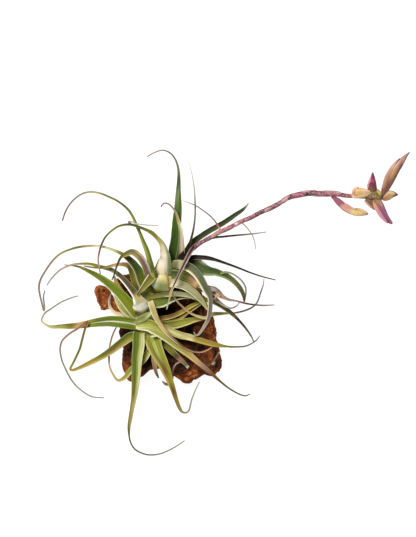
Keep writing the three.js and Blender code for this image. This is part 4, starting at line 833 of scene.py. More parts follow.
# The flower head's spikes and bracts: route as x, y, z and width in millimetres, depth as a share of the
# width, and the smaller bracts that wrap each one
SPIKES = {
    "spike_large": {
        "route": [
            (166.1, 100.8, 71, 2.8), (167.7, 103.7, 71.5, 4), (169.7, 107.2, 72.5, 5.6),
            (171.5, 111.6, 74, 7), (173.6, 116, 75, 7.4), (176.1, 120.4, 76, 7), (179.3, 124.9, 76.5, 5.2),
            (183, 129.3, 76.5, 3), (186.6, 133, 76.5, 0.7),
        ],
        "depth": 0.46, "slot": "spike_tan",
        "colours": [
            (0, "brown"), (0.1, "umber"), (0.25, "knuckle_brown"), (0.5, "spike_olive"),
            (0.75, "dusty_tan"), (0.9, "mauve_brown"), (1, "umber"),
        ],
        "right": ("maroon_brown", 0.6, 0.85),
        "bracts": [
            {
                "route": [
                    (165.7, 101.4, 72.1, 1.6), (167.4, 106, 73.8, 3.6), (170, 113.4, 76.2, 5),
                    (173.6, 120.4, 77.4, 4.4), (177.6, 126.4, 77.8, 1.8), (179.4, 128.4, 77.8, 0.5),
                ],
                "colours": [
                    (0, "maroon"), (0.1, "maroon_brown"), (0.22, "dusty_tan"), (0.6, "dusty_tan"),
                    (0.8, "dusty_peach"), (1, "maroon_brown"),
                ],
                "right": ("spike_olive", 0.6, 0.75), "left": ("dusty_peach", 0.3, 0.9, 0.2),
            },
            {
                "route": [
                    (173.6, 112.6, 75, 1), (176.2, 117.4, 76.4, 3), (178.8, 121.6, 77.2, 3.6),
                    (181.6, 126.2, 77.6, 3), (185.6, 131.8, 77.2, 0.6),
                ],
                "colours": [
                    (0, "maroon_brown"), (0.3, "spike_olive"), (0.55, "spike_olive"), (0.75, "mauve_brown"),
                    (0.9, "maroon_brown"), (1, "smoke"),
                ],
                "left": ("dusty_peach", 0.6, 0.9), "right": ("maroon_brown", 0.4, 0.9),
            },
        ],
    },
    "spike_short": {
        "route": [
            (158.7, 102.9, 71, 6.2), (158.8, 105.6, 72.5, 7.2), (158.9, 109.8, 75, 5.8),
            (159, 114, 77, 3.6), (159.1, 118, 78.5, 0.7),
        ],
        "depth": 0.6, "slot": "spike_pink",
        "colours": [
            (0, "knuckle_olive"), (0.16, "knuckle_brown"), (0.34, "maroon_brown"), (0.5, "maroon"),
            (0.6, "rose"), (0.8, "maroon"), (1, "umber"),
        ],
        "right": ("maroon", 0.4, 1),
        "bracts": [
            {
                "route": [
                    (156.2, 104.6, 73.2, 2), (156.5, 107.4, 74.8, 3.6), (157.3, 111.4, 77, 3),
                    (158.6, 117.4, 78.5, 0.5),
                ],
                "colours": [(0, "rose"), (0.2, "light_pink"), (0.8, "light_pink"), (1, "rose")],
                "right": ("rose", 0.6, 1),
            },
        ],
    },
    "spike_mauve": {
        "route": [
            (161.6, 99, 69.8, 5.6), (162.6, 96.4, 69.3, 6.4), (164.8, 92.2, 68, 6.4),
            (167, 87.8, 66.5, 5.8), (169.6, 83.8, 65, 4.4), (172.3, 81, 64.2, 3), (173.9, 79.7, 63.8, 1.4),
        ],
        "depth": 0.56, "slot": "spike_mauve",
        "colours": [
            (0, "knuckle_brown"), (0.14, "spike_olive"), (0.34, "mauve"), (0.7, "plum"), (0.86, "maroon"),
            (1, "plum"),
        ],
        "bracts": [
            {
                "route": [
                    (160.2, 97.8, 70.6, 2.4), (161.8, 92.8, 70.2, 4), (165, 86.8, 68.6, 3.8),
                    (168.2, 82.6, 66.5, 2.6), (170.6, 80, 65, 0.8),
                ],
                "colours": [
                    (0, "pink_tan"), (0.25, "peach"), (0.5, "light_pink"), (0.9, "light_pink"), (1, "plum"),
                ],
                "left": ("mauve", 0.35, 1),
            },
            {
                "route": [
                    (164.6, 96.4, 70.8, 0.8), (166.4, 92, 69.8, 1.8), (168.9, 87, 68, 1.8),
                    (171.4, 83, 66, 1.4), (173.4, 80.4, 64.8, 0.8),
                ],
                "colours": [(0, "pink_tan"), (0.4, "mauve"), (0.85, "mauve"), (1, "light_pink")],
            },
        ],
    },
    "spike_side": {
        "route": [
            (128.8, 100.3, 66.5, 2.6), (131, 98.4, 66, 3.6), (133, 96.4, 65.5, 4.6),
            (138.1, 92.3, 64.3, 5.8), (142.5, 89.6, 63.5, 5.6), (147.1, 88.1, 63, 5.6),
            (151.6, 87.7, 63, 4.8), (154.6, 87.2, 63, 2.6), (155.9, 86.9, 63, 0.9),
        ],
        "depth": 0.66, "slot": "spike_peach",
        "colours": [
            (0, "maroon"), (0.08, "rose"), (0.26, "mauve"), (0.34, "peach"), (0.5, "peach"),
            (0.55, "pink_tan"), (0.62, "flower_yellow"), (0.92, "flower_yellow"), (1, "grey_olive"),
        ],
        "right": ("mauve_brown", 0.2, 0.55),
        "bracts": [
            {
                "route": [
                    (129.8, 99.8, 67.5, 1.4), (133.2, 97.2, 67.2, 3.6), (136.4, 94.8, 66.6, 3.6),
                    (139, 93.2, 66, 0.8),
                ],
                "colours": [(0, "rose"), (0.4, "mauve"), (1, "mauve")],
                "left": ("rose", 0.3, 1),
            },
            {
                "route": [
                    (136.2, 95.2, 66.4, 1.4), (139.8, 92.8, 66, 3.6), (143.2, 90.9, 65.4, 3),
                    (146.6, 89.6, 65, 0.6),
                ],
                "colours": [(0, "light_pink"), (0.4, "peach"), (1, "flower_yellow")],
                "margin": 0.4,
            },
            {
                "route": [
                    (146.2, 91.2, 64.6, 0.6), (149, 90.2, 65, 2.4), (152.6, 88.9, 65, 2.6),
                    (155.6, 87.4, 64.2, 0.7),
                ],
                "colours": [
                    (0, "knuckle_olive"), (0.25, "flower_yellow"), (0.7, "warm_cream"), (1, "light_pink"),
                ],
            },
        ],
    },
    "bract_cream": {
        "route": [
            (144.4, 101.6, 71, 3.5), (146, 102.4, 72, 7), (149, 102.6, 72.6, 8), (152.4, 102.4, 73, 6.6),
            (155.3, 103, 73, 5), (158.6, 103.7, 73, 1),
        ],
        "depth": 0.6, "slot": "bract_cream",
        "colours": [(0, "ochre"), (0.25, "ochre"), (0.45, "flower_yellow"), (1, "warm_cream")],
        "right": ("flower_yellow", 0.4, 0.8),
        "bracts": [
            {
                "route": [
                    (145.4, 100.8, 73.8, 1.6), (145, 103.2, 75, 3), (146.4, 105.6, 75.8, 3.2),
                    (148.6, 107, 75.8, 0.8),
                ],
                "colours": [(0, "ochre"), (0.4, "flower_yellow"), (0.8, "warm_cream"), (1, "pink_tan")],
                "left": ("peach", 0.4, 1), "right": ("ochre", 0.4, 1),
            },
            {
                "route": [
                    (146.2, 104.4, 75.6, 3.4), (149.6, 104, 76.3, 5.2), (153.6, 103.6, 76, 4.4),
                    (157.4, 103.8, 74.8, 1),
                ],
                "colours": [
                    (0, "warm_cream"), (0.3, "flower_yellow"), (0.6, "warm_cream"), (1, "warm_cream"),
                ],
                "left": ("peach", 0.25, 1),
            },
            {
                "route": [
                    (143.4, 102.2, 73, 1.2), (144.6, 100.4, 73.8, 2.8), (146.6, 99.4, 73.8, 2.4),
                    (148.6, 99, 73, 0.6),
                ],
                "colours": [(0, "light_pink"), (0.6, "pink_cream"), (1, "peach")],
            },
        ],
    },
    "bract_olive": {
        "route": [
            (165.2, 99.6, 69.5, 4), (167.9, 99.9, 69.5, 7), (170.5, 100.8, 69.5, 7.6),
            (173.4, 101.5, 69.5, 6), (176, 101.5, 69.5, 3.4), (178.1, 101.1, 69.5, 0.7),
        ],
        "depth": 0.5, "slot": "bract_olive",
        "colours": [
            (0, "knuckle_brown"), (0.25, "spike_olive"), (0.6, "olive_tan"), (0.85, "maroon_brown"),
            (1, "umber"),
        ],
        "bracts": [
            {
                "route": [
                    (165.8, 102, 70.8, 1.4), (169.2, 102.7, 71.6, 3.6), (173, 102.5, 71.6, 3.4),
                    (176.8, 101.5, 71, 0.8),
                ],
                "channel": [(0, -0.25), (1, -0.25)],
                "colours": [
                    (0, "knuckle_olive"), (0.25, "pale_olive"), (0.8, "pale_olive"), (1, "maroon_brown"),
                ],
                "left": ("mauve_grey", 0.25, 1),
            },
        ],
    },
    "bract_brown": {
        "route": [
            (153.8, 98, 68.6, 4.4), (156.6, 96.3, 68.2, 6.4), (158.8, 93.2, 67.4, 4.8),
            (160.9, 90.2, 66.2, 1.6),
        ],
        "depth": 0.5, "slot": "bract_brown",
        "colours": [(0, "umber"), (0.4, "knuckle_brown"), (0.8, "spike_olive"), (1, "brown")],
        "right": ("peach", 0.5, 1),
    },
}

# The bark's two lumps: middle, face height, outline seen from above in millimetres, how warm its colour
# is beside the other's, and how many rings of faces
BARK_LUMPS = [
    {
        "middle": (3, 2), "face": 22.5, "warmth": 0, "rings": 150,
        "outline": [
            (47, -26), (44.5, -15), (42, -3), (39.5, 11), (34, 23), (26, 34), (10, 41), (-8, 42), (-22, 42),
            (-31, 40), (-34, 35), (-33.5, 30), (-29, 24), (-30, 14), (-31, 0), (-28.5, -15), (-28, -28),
            (-22, -39), (-13, -35), (-5, -29), (2, -30), (10, -34), (19.5, -40), (27, -37), (34, -34),
            (41, -34.5),
        ],
    },
    {
        "middle": (-38, 22), "face": 18, "warmth": 0.46, "rings": 70,
        "outline": [
            (-22, 18), (-33, 22), (-36.5, 26.4), (-38.5, 30.4), (-41.5, 32.2), (-46, 32.5), (-49.3, 30),
            (-48.3, 24), (-46.6, 18.6), (-44.4, 15.6), (-42, 15.8), (-38.5, 15.6), (-33, 13), (-24, 12),
        ],
    },
]
# Steps along an outline, how soon a lump spreads to its outline and how square its shoulders are
RIM_STEPS = 24
LUMP_SPREAD = 0.62
LUMP_SHOULDER = 0.7
# Height of the bark's widest girth, depth it is drawn in below that, and height of its furrows
BARK_GIRTH = 7
BARK_UNDERCUT = 10
FURROW_HEIGHT = 0.5
# Knobs and hollows of the bark's face: x, y, height, radius
BARK_KNOBS = [
    (15, -30, 2.5, 8), (38, -27, 3, 9), (34, 6, 2, 10), (-20, -24, 2, 9), (-30, 34, 1.5, 8),
    (6, -14, -2.5, 10), (18, 16, -2, 11),
]
# Cork plates and the crumbs on them: sizes in millimetres, the plates' stretch across the bark, where
# the crumbs' pattern starts, width of the clefts, and how far and how often the clefts bend
PLATE_SIZE = 9
CRUMB_SIZE = 4
PLATE_STRETCH = 0.6
CRUMB_SHIFT = Vector((31, 17, 5))
CLEFT_WIDTH = 0.42
PLATE_BEND = 3
PLATE_BEND_PITCH = 0.13
# Heights beside the plates', the levels that count as plain, and pitches of the rough and broad relief
PLATE_LEVEL = 0.75
CRUMB_HEIGHT = 0.25
CRUMB_LEVEL = 0.6
ROUGH_HEIGHT = 0.6
ROUGH_PITCH = 0.25
BROAD_PITCH = 0.07
# What moves the cork's colour along its tones, and where: the rim, with a painted highlight, by its level,
# the rest in millimetres, leaf_shadow being a painted shadow of the leaves
TONE = {
    "all": 0.3, "plates": 0.18, "crumbs": 0.12, "rough": 0.2, "broad": 0.3, "rim": 0.1,
    "right_edge": 0.35, "foot": 0.2, "leaf_shadow": 0.24,
}
RIM = (0.8, 0.99)
EDGE_X = (24, 40)
EDGE_Y = (-20, 0)
FOOT_Y = (-18, -36)
# Middle and radius of the painted shadow that the leaves cast on the bark
LEAF_SHADOW = (-4, 6)
LEAF_SHADOW_RADIUS = 28
# A painted highlight, a small pale glint on the bark, and where it starts and ends to fade
PAINTED_GLINT = (39.75, -24.75)
GLINT_EDGE = (1, 2)
# Seed of the noise that bends the bark's clefts, which would otherwise start from the clock
BARK_SEED = 2

# Stems inside the two shoots: x, y, z, diameter
LOWER_STEM = {
    "route": [
        (-8, -5, 19, 10), (-9.5, -1.5, 22.5, 14), (-11.5, 4, 26, 15), (-12.5, 10, 29, 13.5),
        (-13.5, 15, 31, 11), (-14, 17, 32, 7),
    ],
    "colours": [
        (0, "olive"), (0.3, "yellow_green"), (0.7, "pale_green"), (0.85, "dark_olive"), (1, "umber"),
    ],
}
UPPER_STEM = {
    "route": [
        (-4, 28, 19, 8), (-1, 31, 25, 11), (5, 38, 31, 12.5), (11, 45.5, 36.5, 12), (16, 52, 41, 9),
        (18.5, 55, 43.5, 6),
    ],
    "colours": [
        (0, "olive"), (0.4, "grey_olive"), (0.8, "grey_green"), (0.93, "umber"), (1, "black_brown"),
    ],
}

# Blades: ripple of the margin and height of the ribs as shares of the half width, the ripple's turn in
# radians per millimetre, the number of ribs, and how the channel steepens to the margin
RIPPLE = 0.012
RIPPLE_TURN = 0.9
RIB = 0.008
RIBS = 5
CHANNEL_CURVE = 1.5

# Paint: blur of a stripe's edge, how gently stripes start and end along the leaf, where the pale margin
# lies across the leaf and fades along it, how pale it is, and how dark the painted shade along the middle of
# the channel is
LEAST_BLUR = 0.04
STRIPE_BLUR = 0.5
START_FADE = 0.04
STRIPE_FADE = 0.1
MARGIN_PLACE = (0.78, 0.98)
MARGIN_FADE = (0.55, 0.9)
MARGIN_PALENESS = 0.3
PAINTED_CHANNEL_SHADE = 0.82

# Bracts round the scape: width, taper and lean as shares of the stalk's girth, lift off the stalk and
# sink of the tip in millimetres, steps to each stretch, channel, and where the three colours lie
WRAP_WIDTH = 1.12
WRAP_TAPER = 0.9
WRAP_LEAN = 0.4
WRAP_LIFT = 0.4
WRAP_SINK = 0.2
WRAP_STEPS = 4
WRAP_ARCH = [(0, -0.42), (1, -0.3)]
WRAP_STOPS = (0, 0.4, 1)

# Relief that the materials add, in metres, and its strength
SKIN_RELIEF = 0.0003
GRAIN_RELIEF = 0.001
RELIEF_STRENGTH = 0.7

# The stage in metres: half the floor's width and its gap under the bark. The camera's sensor in millimetres
FLOOR_REACH = 3
FLOOR_GAP = 0.0003
SENSOR_WIDTH = 36


@cache
def linear(hex_colour):
    """An sRGB hex colour as linear red, green and blue."""
    channels = [int(hex_colour[i : i + 2], 16) / 255 for i in (0, 2, 4)]
    return tuple(c / 12.92 if c <= 0.04045 else ((c + 0.055) / 1.055) ** 2.4 for c in channels)


def mix(a, b, amount):
    """The values between a and b, from a at 0 to b at 1."""
    return tuple(x + (y - x) * amount for x, y in zip(a, b))


def ease(low, high, value):
    """0 below low, 1 above high, smooth between."""
    t = min(max((value - low) / (high - low), 0), 1)
    return t * t * (3 - 2 * t)


def stop_value(stops, u):
    """The value at u, blended between stops of place and value. A value is a number or a colour's name."""
    values = [linear(PALETTE[value]) if isinstance(value, str) else (value,) for _, value in stops]
    for i in range(len(stops) - 1):
        start, end = stops[i][0], stops[i + 1][0]
        if u <= end:
            return mix(values[i], values[i + 1], ease(0, 1, (u - start) / (end - start)))
    return values[-1]


def painted(leaf, u, v):
    """Colour at u along a leaf and v across it, from -1 at its left margin to 1 at its right."""
    colour = stop_value(leaf["colours"], u)
    for side, sign in (("left", -1), ("right", 1)):
        if side in leaf:
            name, share, reach, *start = leaf[side]
            blur = LEAST_BLUR + share * STRIPE_BLUR
            amount = ease(1 - share - blur, 1 - share + blur, v * sign)
            amount *= 1 - ease(reach - STRIPE_FADE, reach + STRIPE_FADE, u)
            if start:
                amount *= ease(start[0] - START_FADE, start[0] + START_FADE, u)
            colour = mix(colour, linear(PALETTE[name]), amount)
    if "middle" in leaf:
        name, share, reach = leaf["middle"]
        amount = 1 - ease(share * STRIPE_BLUR, share, abs(v))
        amount *= 1 - ease(reach - STRIPE_FADE, reach + STRIPE_FADE, u)
        colour = mix(colour, linear(PALETTE[name]), amount)
    # Thin margins let light through, and painted shade darkens the middle across each blade and rod, the
    # channel's floor on a leaf
    pale_margin = leaf.get("margin", MARGIN_PALENESS) * ease(*MARGIN_PLACE, abs(v))
    pale_margin *= 1 - ease(*MARGIN_FADE, u)
    colour = mix(colour, linear(PALETTE["cream"]), pale_margin)
    return tuple(c * (PAINTED_CHANNEL_SHADE + (1 - PAINTED_CHANNEL_SHADE) * abs(v)) for c in colour)


def route_stations(route, steps):
    """Places and widths along a smooth curve through a route's points, steps to each stretch, in metres."""
    knots = [Vector(point[:3]) for point in route]
    chain = [knots[0] * 2 - knots[1], *knots, knots[-1] * 2 - knots[-2]]
    stations = []
    for i in range(len(knots) - 1):
        before, start, end, after = chain[i : i + 4]
        stretches = ((before, start), (start, end), (end, after))
        gaps = [math.sqrt(max((q - p).length, LEAST_GAP)) for p, q in stretches]
        leave = (start - before) / gaps[0] - (end - before) / (gaps[0] + gaps[1]) + (end - start) / gaps[1]
        arrive = (end - start) / gaps[1] - (after - start) / (gaps[1] + gaps[2]) + (after - end) / gaps[2]
        leave *= gaps[1]
        arrive *= gaps[1]
        for k in range(steps + (i == len(knots) - 2)):
            t = k / steps
            place = (
                start
                + leave * t
                + (end * 3 - start * 3 - leave * 2 - arrive) * t**2
                + (start * 2 - end * 2 + leave + arrive) * t**3
            )
            width = route[i][3] + (route[i + 1][3] - route[i][3]) * t
            stations.append((place * MM, width * MM))
    return stations


def lay_strip(bm, shape, columns, steps, section):
    """Lays a strip of faces along a shape's route. section gives each corner's place across the route."""
    stations = route_stations(shape["route"], steps)
    last = len(stations) - 1
    reach = [0.0]
    for (place, _), (following, _) in zip(stations, stations[1:]):
        reach.append(reach[-1] + (following - place).length)
    strip = bmesh.ops.create_grid(bm, x_segments=columns, y_segments=last, size=1, calc_uvs=True)
    tint = bm.verts.layers.float_color["tint"]
    uv_map = bm.loops.layers.uv.active
    frames = []
    for i in range(last + 1):
        along = (stations[min(i + 1, last)][0] - stations[max(i - 1, 0)][0]).normalized()
        across = along.cross(Vector((0, 0, 1))).normalized()
        frames.append((across, across.cross(along).normalized()))
    for corner in strip["verts"]:
        i = round((corner.co.y + 1) / 2 * last)
        u = reach[i] / reach[-1]
        place, width = stations[i]
        across, out = frames[i]
        sideways, upwards = section(u, corner.co.x, width / 2, reach[i] / MM)
        side = min(max(sideways / (width / 2), -1), 1)
        corner.co = place + across * sideways + out * upwards
        corner[tint] = (*painted(shape, u, side), shape.get("marks", 1))
    # A dictionary keeps the faces in order, so that every run builds the same mesh
    faces = dict.fromkeys(face for corner in strip["verts"] for face in corner.link_faces)
    for face in faces:
        for loop in face.loops:
            across_share, along_share = loop[uv_map].uv
            loop[uv_map].uv = (across_share, reach[round(along_share * last)] / CM)
    return list(faces)


def new_piece_mesh():
    """An empty mesh whose faces lie along a leaf and whose corners carry colour."""
    bm = bmesh.new()
    bm.loops.layers.uv.new("leaf_lie")
    bm.verts.layers.float_color.new("tint")
    return bm


def finish_piece(bm, name, node, material):
    """Turns the mesh into a shaded object that rides with the plant and stands for a solid."""
    mesh = bpy.data.meshes.new(name)
    bm.to_mesh(mesh)
    bm.free()
    mesh.shade_smooth()
    mesh.materials.append(material)
    piece = bpy.data.objects.new(name, mesh)
    bpy.context.scene.collection.objects.link(piece)
    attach(piece, "root")
    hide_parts(node)


def add_blade(bm, leaf, settings):
    """A leaf blade: channelled, or arched where its channel is below 0, with fine ribs and a wavy margin."""
    channel = leaf.get("channel", [(0, settings.channel_depth)])
    phase = leaf["route"][-1][0]

    def section(u, v, half, reach):
        ripple = math.sin(reach * RIPPLE_TURN + phase + v) * RIPPLE * half * abs(v)
        ribs = RIB * half * math.cos(v * RIBS * math.pi) * leaf.get("marks", 1)
        lift = 2 * half * stop_value(channel, u)[0] * abs(v) ** CHANNEL_CURVE
        return v * half + ripple, lift + ripple + ribs

    faces = lay_strip(bm, leaf, settings.blade_columns, settings.stretch_steps, section)
    bmesh.ops.solidify(bm, geom=faces, thickness=settings.blade_thickness)


def add_rod(bm, shape, settings):
    """A round body along a route, flattened to its depth and closed at both ends."""
    shape = {"margin": 0, **shape}
    depth = shape.get("depth", 1)

    def section(u, v, half, reach):
        angle = v * math.pi
        return math.sin(angle) * half, math.cos(angle) * half * depth

    faces = lay_strip(bm, shape, settings.rod_sides, settings.stretch_steps, section)
    corners = list(dict.fromkeys(corner for face in faces for corner in face.verts))
    bmesh.ops.remove_doubles(bm, verts=corners, dist=LEAST_GAP)
    bmesh.ops.holes_fill(bm, edges=[edge for edge in bm.edges if edge.is_boundary], sides=0)


def build_piece(name, node, slot, material, settings, blades, rod=None):
    """Builds a piece from the rod that carries it, where it has one, and its blades."""
    bm = new_piece_mesh()
    if rod:
        add_rod(bm, rod, settings)
    for blade in blades:
        add_blade(bm, blade, settings)
    finish_piece(bm, name, node, material)


def scape_wrap(start, end, lean, colours, above, below):
    """A bract that wraps the scape from one x to another, its tip leaning to the side."""
    stations = [s for s in route_stations(SCAPE["route"], WRAP_STEPS) if start <= s[0].x / MM <= end]
    route = []
    for i, (place, girth) in enumerate(stations):
        t = i / (len(stations) - 1)
        width = girth / MM * (WRAP_WIDTH - WRAP_TAPER * t**3)
        side = -lean * girth / MM * WRAP_LEAN * t**2
        x, y, z = place / MM
        route.append((x, y + side, z + girth / MM * 0.5 + WRAP_LIFT - WRAP_SINK * t, width))
    return {
        "route": route,
        "channel": WRAP_ARCH,
        "colours": list(zip(WRAP_STOPS, colours)),
        "left": above,
        # The lower margin's stripe, mostly dark, is painted shade on the stalk's shadow side
        "right": below,
        "margin": 0,
    }


# Materials


def add_node(material, kind, links=None, values=None, stops=None, **settings):
    """Adds a node with its settings, its inputs' links and values, and a ramp's stops of place and colour."""
    node = material.node_tree.nodes.new(kind)
    for key, value in settings.items():
        setattr(node, key, value)
    for key, value in (values or {}).items():
        node.inputs[key].default_value = value
    for key, source in (links or {}).items():
        material.node_tree.links.new(source, node.inputs[key])
    for i, (place, colour) in enumerate(stops or []):
        elements = node.color_ramp.elements
        element = elements[i] if i < len(elements) else elements.new(place)
        element.position = place
        element.color = (*linear(colour), 1)
    return node


def new_material(name):
    """A material with no nodes yet."""
    material = bpy.data.materials.new(name)
    material.use_nodes = True
    material.node_tree.nodes.clear()
    return material


def finish_material(material, colour, height, depth, shine):
    """Ends a material with its shader, fed by the colour and by relief of a depth in metres.

    shine is its roughness, its index of refraction and its specular level.
    """
    relief = add_node(
        material, "ShaderNodeBump", {"Height": height}, {"Strength": RELIEF_STRENGTH, "Distance": depth}
    )
    shader = add_node(
        material,
        "ShaderNodeBsdfPrincipled",
        {"Base Color": colour, "Normal": relief.outputs["Normal"]},
        dict(zip(("Roughness", "IOR", "Specular IOR Level"), shine)),
    )
    add_node(material, "ShaderNodeOutputMaterial", {"Surface": shader.outputs["BSDF"]})


def skin_material(name, fibres, shades, scurf, bloom, shine):
    """Plant skin with lengthwise fibres and scurf.

    fibres is how often they repeat across a leaf and in a centimetre along it, shades their two colours,
    scurf the scales' fineness per metre, bloom how strongly they veil the skin, in which colour.
    """
    material = new_material(name)
    tint = add_node(material, "ShaderNodeAttribute", attribute_name="tint")
    lie = add_node(material, "ShaderNodeUVMap", uv_map="leaf_lie")
    place = add_node(material, "ShaderNodeTexCoord")
    stretched = add_node(
        material, "ShaderNodeMapping", {"Vector": lie.outputs["UV"]}, {"Scale": (*fibres, 1)}
    )
    fibre = add_node(
        material,
        "ShaderNodeTexNoise",
        {"Vector": stretched.outputs["Vector"]},
        {"Scale": 1, "Detail": 4, "Roughness": 0.6},
    )
    scales = add_node(
        material,
        "ShaderNodeTexNoise",
        {"Vector": place.outputs["Object"]},
        {"Scale": scurf, "Detail": 3, "Roughness": 0.75},
    )
    fibre_shade = add_node(
        material,
        "ShaderNodeValToRGB",
        {"Fac": fibre.outputs["Fac"]},
        stops=[(0.34, shades[0]), (0.66, shades[1])],
    )
    fibrous = add_node(
        material,
        "ShaderNodeMix",
        {0: tint.outputs["Alpha"], 6: tint.outputs["Color"], 7: fibre_shade.outputs["Color"]},
        data_type="RGBA",
        blend_type="MULTIPLY",
    )
    veil = add_node(
        material,
        "ShaderNodeMapRange",
        {"Value": scales.outputs["Fac"]},
        {"From Min": 0.45, "From Max": 0.68, "To Max": bloom[0]},
    )
    marked = add_node(
        material,
        "ShaderNodeMath",
        {0: veil.outputs["Result"], 1: tint.outputs["Alpha"]},
        operation="MULTIPLY",
    )
    veiled = add_node(
        material,
        "ShaderNodeMix",
        {0: marked.outputs["Value"], 6: fibrous.outputs[2]},
        {7: (*bloom[1], 1)},
        data_type="RGBA",
    )
    finish_material(material, veiled.outputs[2], fibre.outputs["Fac"], SKIN_RELIEF, shine)
    return material


def leaf_material(settings):
    """Living leaf skin: leathery and half matt, ribbed lengthwise under a fine bloom of silver scales.

    The scales are a tenth of a millimetre across, drawn at about half a millimetre so that they show.
    """
    bloom = (settings.bloom, settings.bloom_colour)
    shades = ("a6a68a", "ffffff")
    return skin_material("leathery_leaf_skin", (12, 0.35), shades, 1800, bloom, (0.55, 1.4, 0.2))


def dry_leaf_material():
    """Dead leaf: papery and matt, wrinkled lengthwise, with brown flecks about a millimetre across."""
    flecks = (0.5, linear(PALETTE["umber"]))
    return skin_material("papery_dry_leaf", (9, 2), ("8a7664", "ffffff"), 900, flecks, (0.75, 1.4, 0.2))


def bract_material():
    """Bract skin: smooth and faintly waxy, finely veined lengthwise, with a breath of pink scales."""
    blush = (0.15, linear(PALETTE["light_pink"]))
    return skin_material("waxy_bract_skin", (18, 0.8), ("c4aaa6", "ffffff"), 2500, blush, (0.4, 1.45, 0.4))


def scape_material():
    """Scape skin: waxy under a coarse pale scurf.

    The scurf's scales are a few tenths of a millimetre across, drawn at a millimetre so that they show.
    """
    scurf = (0.62, linear(PALETTE["scape_pale"]))
    return skin_material("scurfy_scape_skin", (10, 1.5), ("a88a8c", "ffffff"), 1000, scurf, (0.5, 1.45, 0.2))


def bark_material():
    """Cork bark: dry and matt, pitted and grainy, so its clefts stay a deep brown.

    Its grains are about a millimetre across, drawn at nearly two so that they show.
    """
    material = new_material("rough_cork_bark")
    tint = add_node(material, "ShaderNodeAttribute", attribute_name="tint")
    place = add_node(material, "ShaderNodeTexCoord")
    grain = add_node(
        material,
        "ShaderNodeTexNoise",
        {"Vector": place.outputs["Object"]},
        {"Scale": 560, "Detail": 6, "Roughness": 0.7, "Distortion": 0.5},
    )
    grain_shade = add_node(
        material,
        "ShaderNodeValToRGB",
        {"Fac": grain.outputs["Fac"]},
        stops=[(0.34, "8c7466"), (0.5, "d2c4b8"), (0.64, "ffffff")],
    )
    grained = add_node(
        material,
        "ShaderNodeMix",
        {6: tint.outputs["Color"], 7: grain_shade.outputs["Color"]},
        {0: 1.0},
        data_type="RGBA",
        blend_type="MULTIPLY",
    )
    finish_material(material, grained.outputs[2], grain.outputs["Fac"], GRAIN_RELIEF, (0.8, 1.4, 0.12))
    return material


# Bark


def lump_radius(lump):
    """A function that gives the distance from a lump's middle to its outline in a direction."""
    middle = Vector((*lump["middle"], 0))
    closed = [(x, y, 0, 0) for x, y in lump["outline"]]
    closed = [closed[-1], *closed, closed[0], closed[1]]
    rim = sorted(
        (math.atan2(spoke.y, spoke.x), spoke.length)
        for spoke in (place / MM - middle for place, _ in route_stations(closed, RIM_STEPS))
    )
    angles = [angle for angle, _ in rim]
    return lambda angle: rim[min(bisect.bisect_left(angles, angle), len(rim) - 1)][1]


def bark_relief(x, y, z):
    """Furrows and knobs of the bark, as a height above its plain form, in millimetres.

    The furrows are two sets of crossing waves, which turn by so many radians in a millimetre.
    """
    relief = math.sin(x * 0.42 + math.sin(y * 0.31) * 1.7) * math.sin(y * 0.37 + z * 0.5 + 1.1)
    relief += 0.6 * math.sin(x * 0.21 - y * 0.83 + z * 0.6) * math.sin(x * 0.71 + y * 0.17 + 2.3)
    relief *= FURROW_HEIGHT
    for knob_x, knob_y, height, radius in BARK_KNOBS:
        relief += height * math.exp(-((x - knob_x) ** 2 + (y - knob_y) ** 2) / (radius * radius * 0.5))
    return relief


def cork_plates(spot, size):
    """How far a spot stands out of the clefts between plates of cork of a size, from 0 to 1."""
    bent = spot + noise.noise_vector(spot * PLATE_BEND_PITCH) * PLATE_BEND
    nearest, next_nearest = noise.voronoi(bent / size)[0][:2]
    return ease(0, CLEFT_WIDTH, next_nearest - nearest)


def cork_tone(x, y, level, plates, crumbs, rough, broad):
    """The colour's place in the bark's tones, from 0 in the clefts, partly painted shade, to 1 on the
    lightest edges, partly painted highlight.
    """
    # Painted shadow that the leaves cast over the bark's middle
    leaf_shadow = math.exp(-((x - LEAF_SHADOW[0]) ** 2 + (y - LEAF_SHADOW[1]) ** 2) / LEAF_SHADOW_RADIUS**2)
    # The plates lift the colour out of the clefts, partly the cork's own colour and partly painted shade in
    # the clefts
    tone = TONE["all"] + TONE["plates"] * plates + TONE["crumbs"] * crumbs
    # Painted highlight round the lump's rim
    tone += TONE["rough"] * rough + TONE["broad"] * broad + TONE["rim"] * ease(*RIM, level)
    tone += TONE["right_edge"] * ease(*EDGE_X, x) * ease(*EDGE_Y, y)
    return tone + TONE["foot"] * ease(*FOOT_Y, y) - TONE["leaf_shadow"] * leaf_shadow


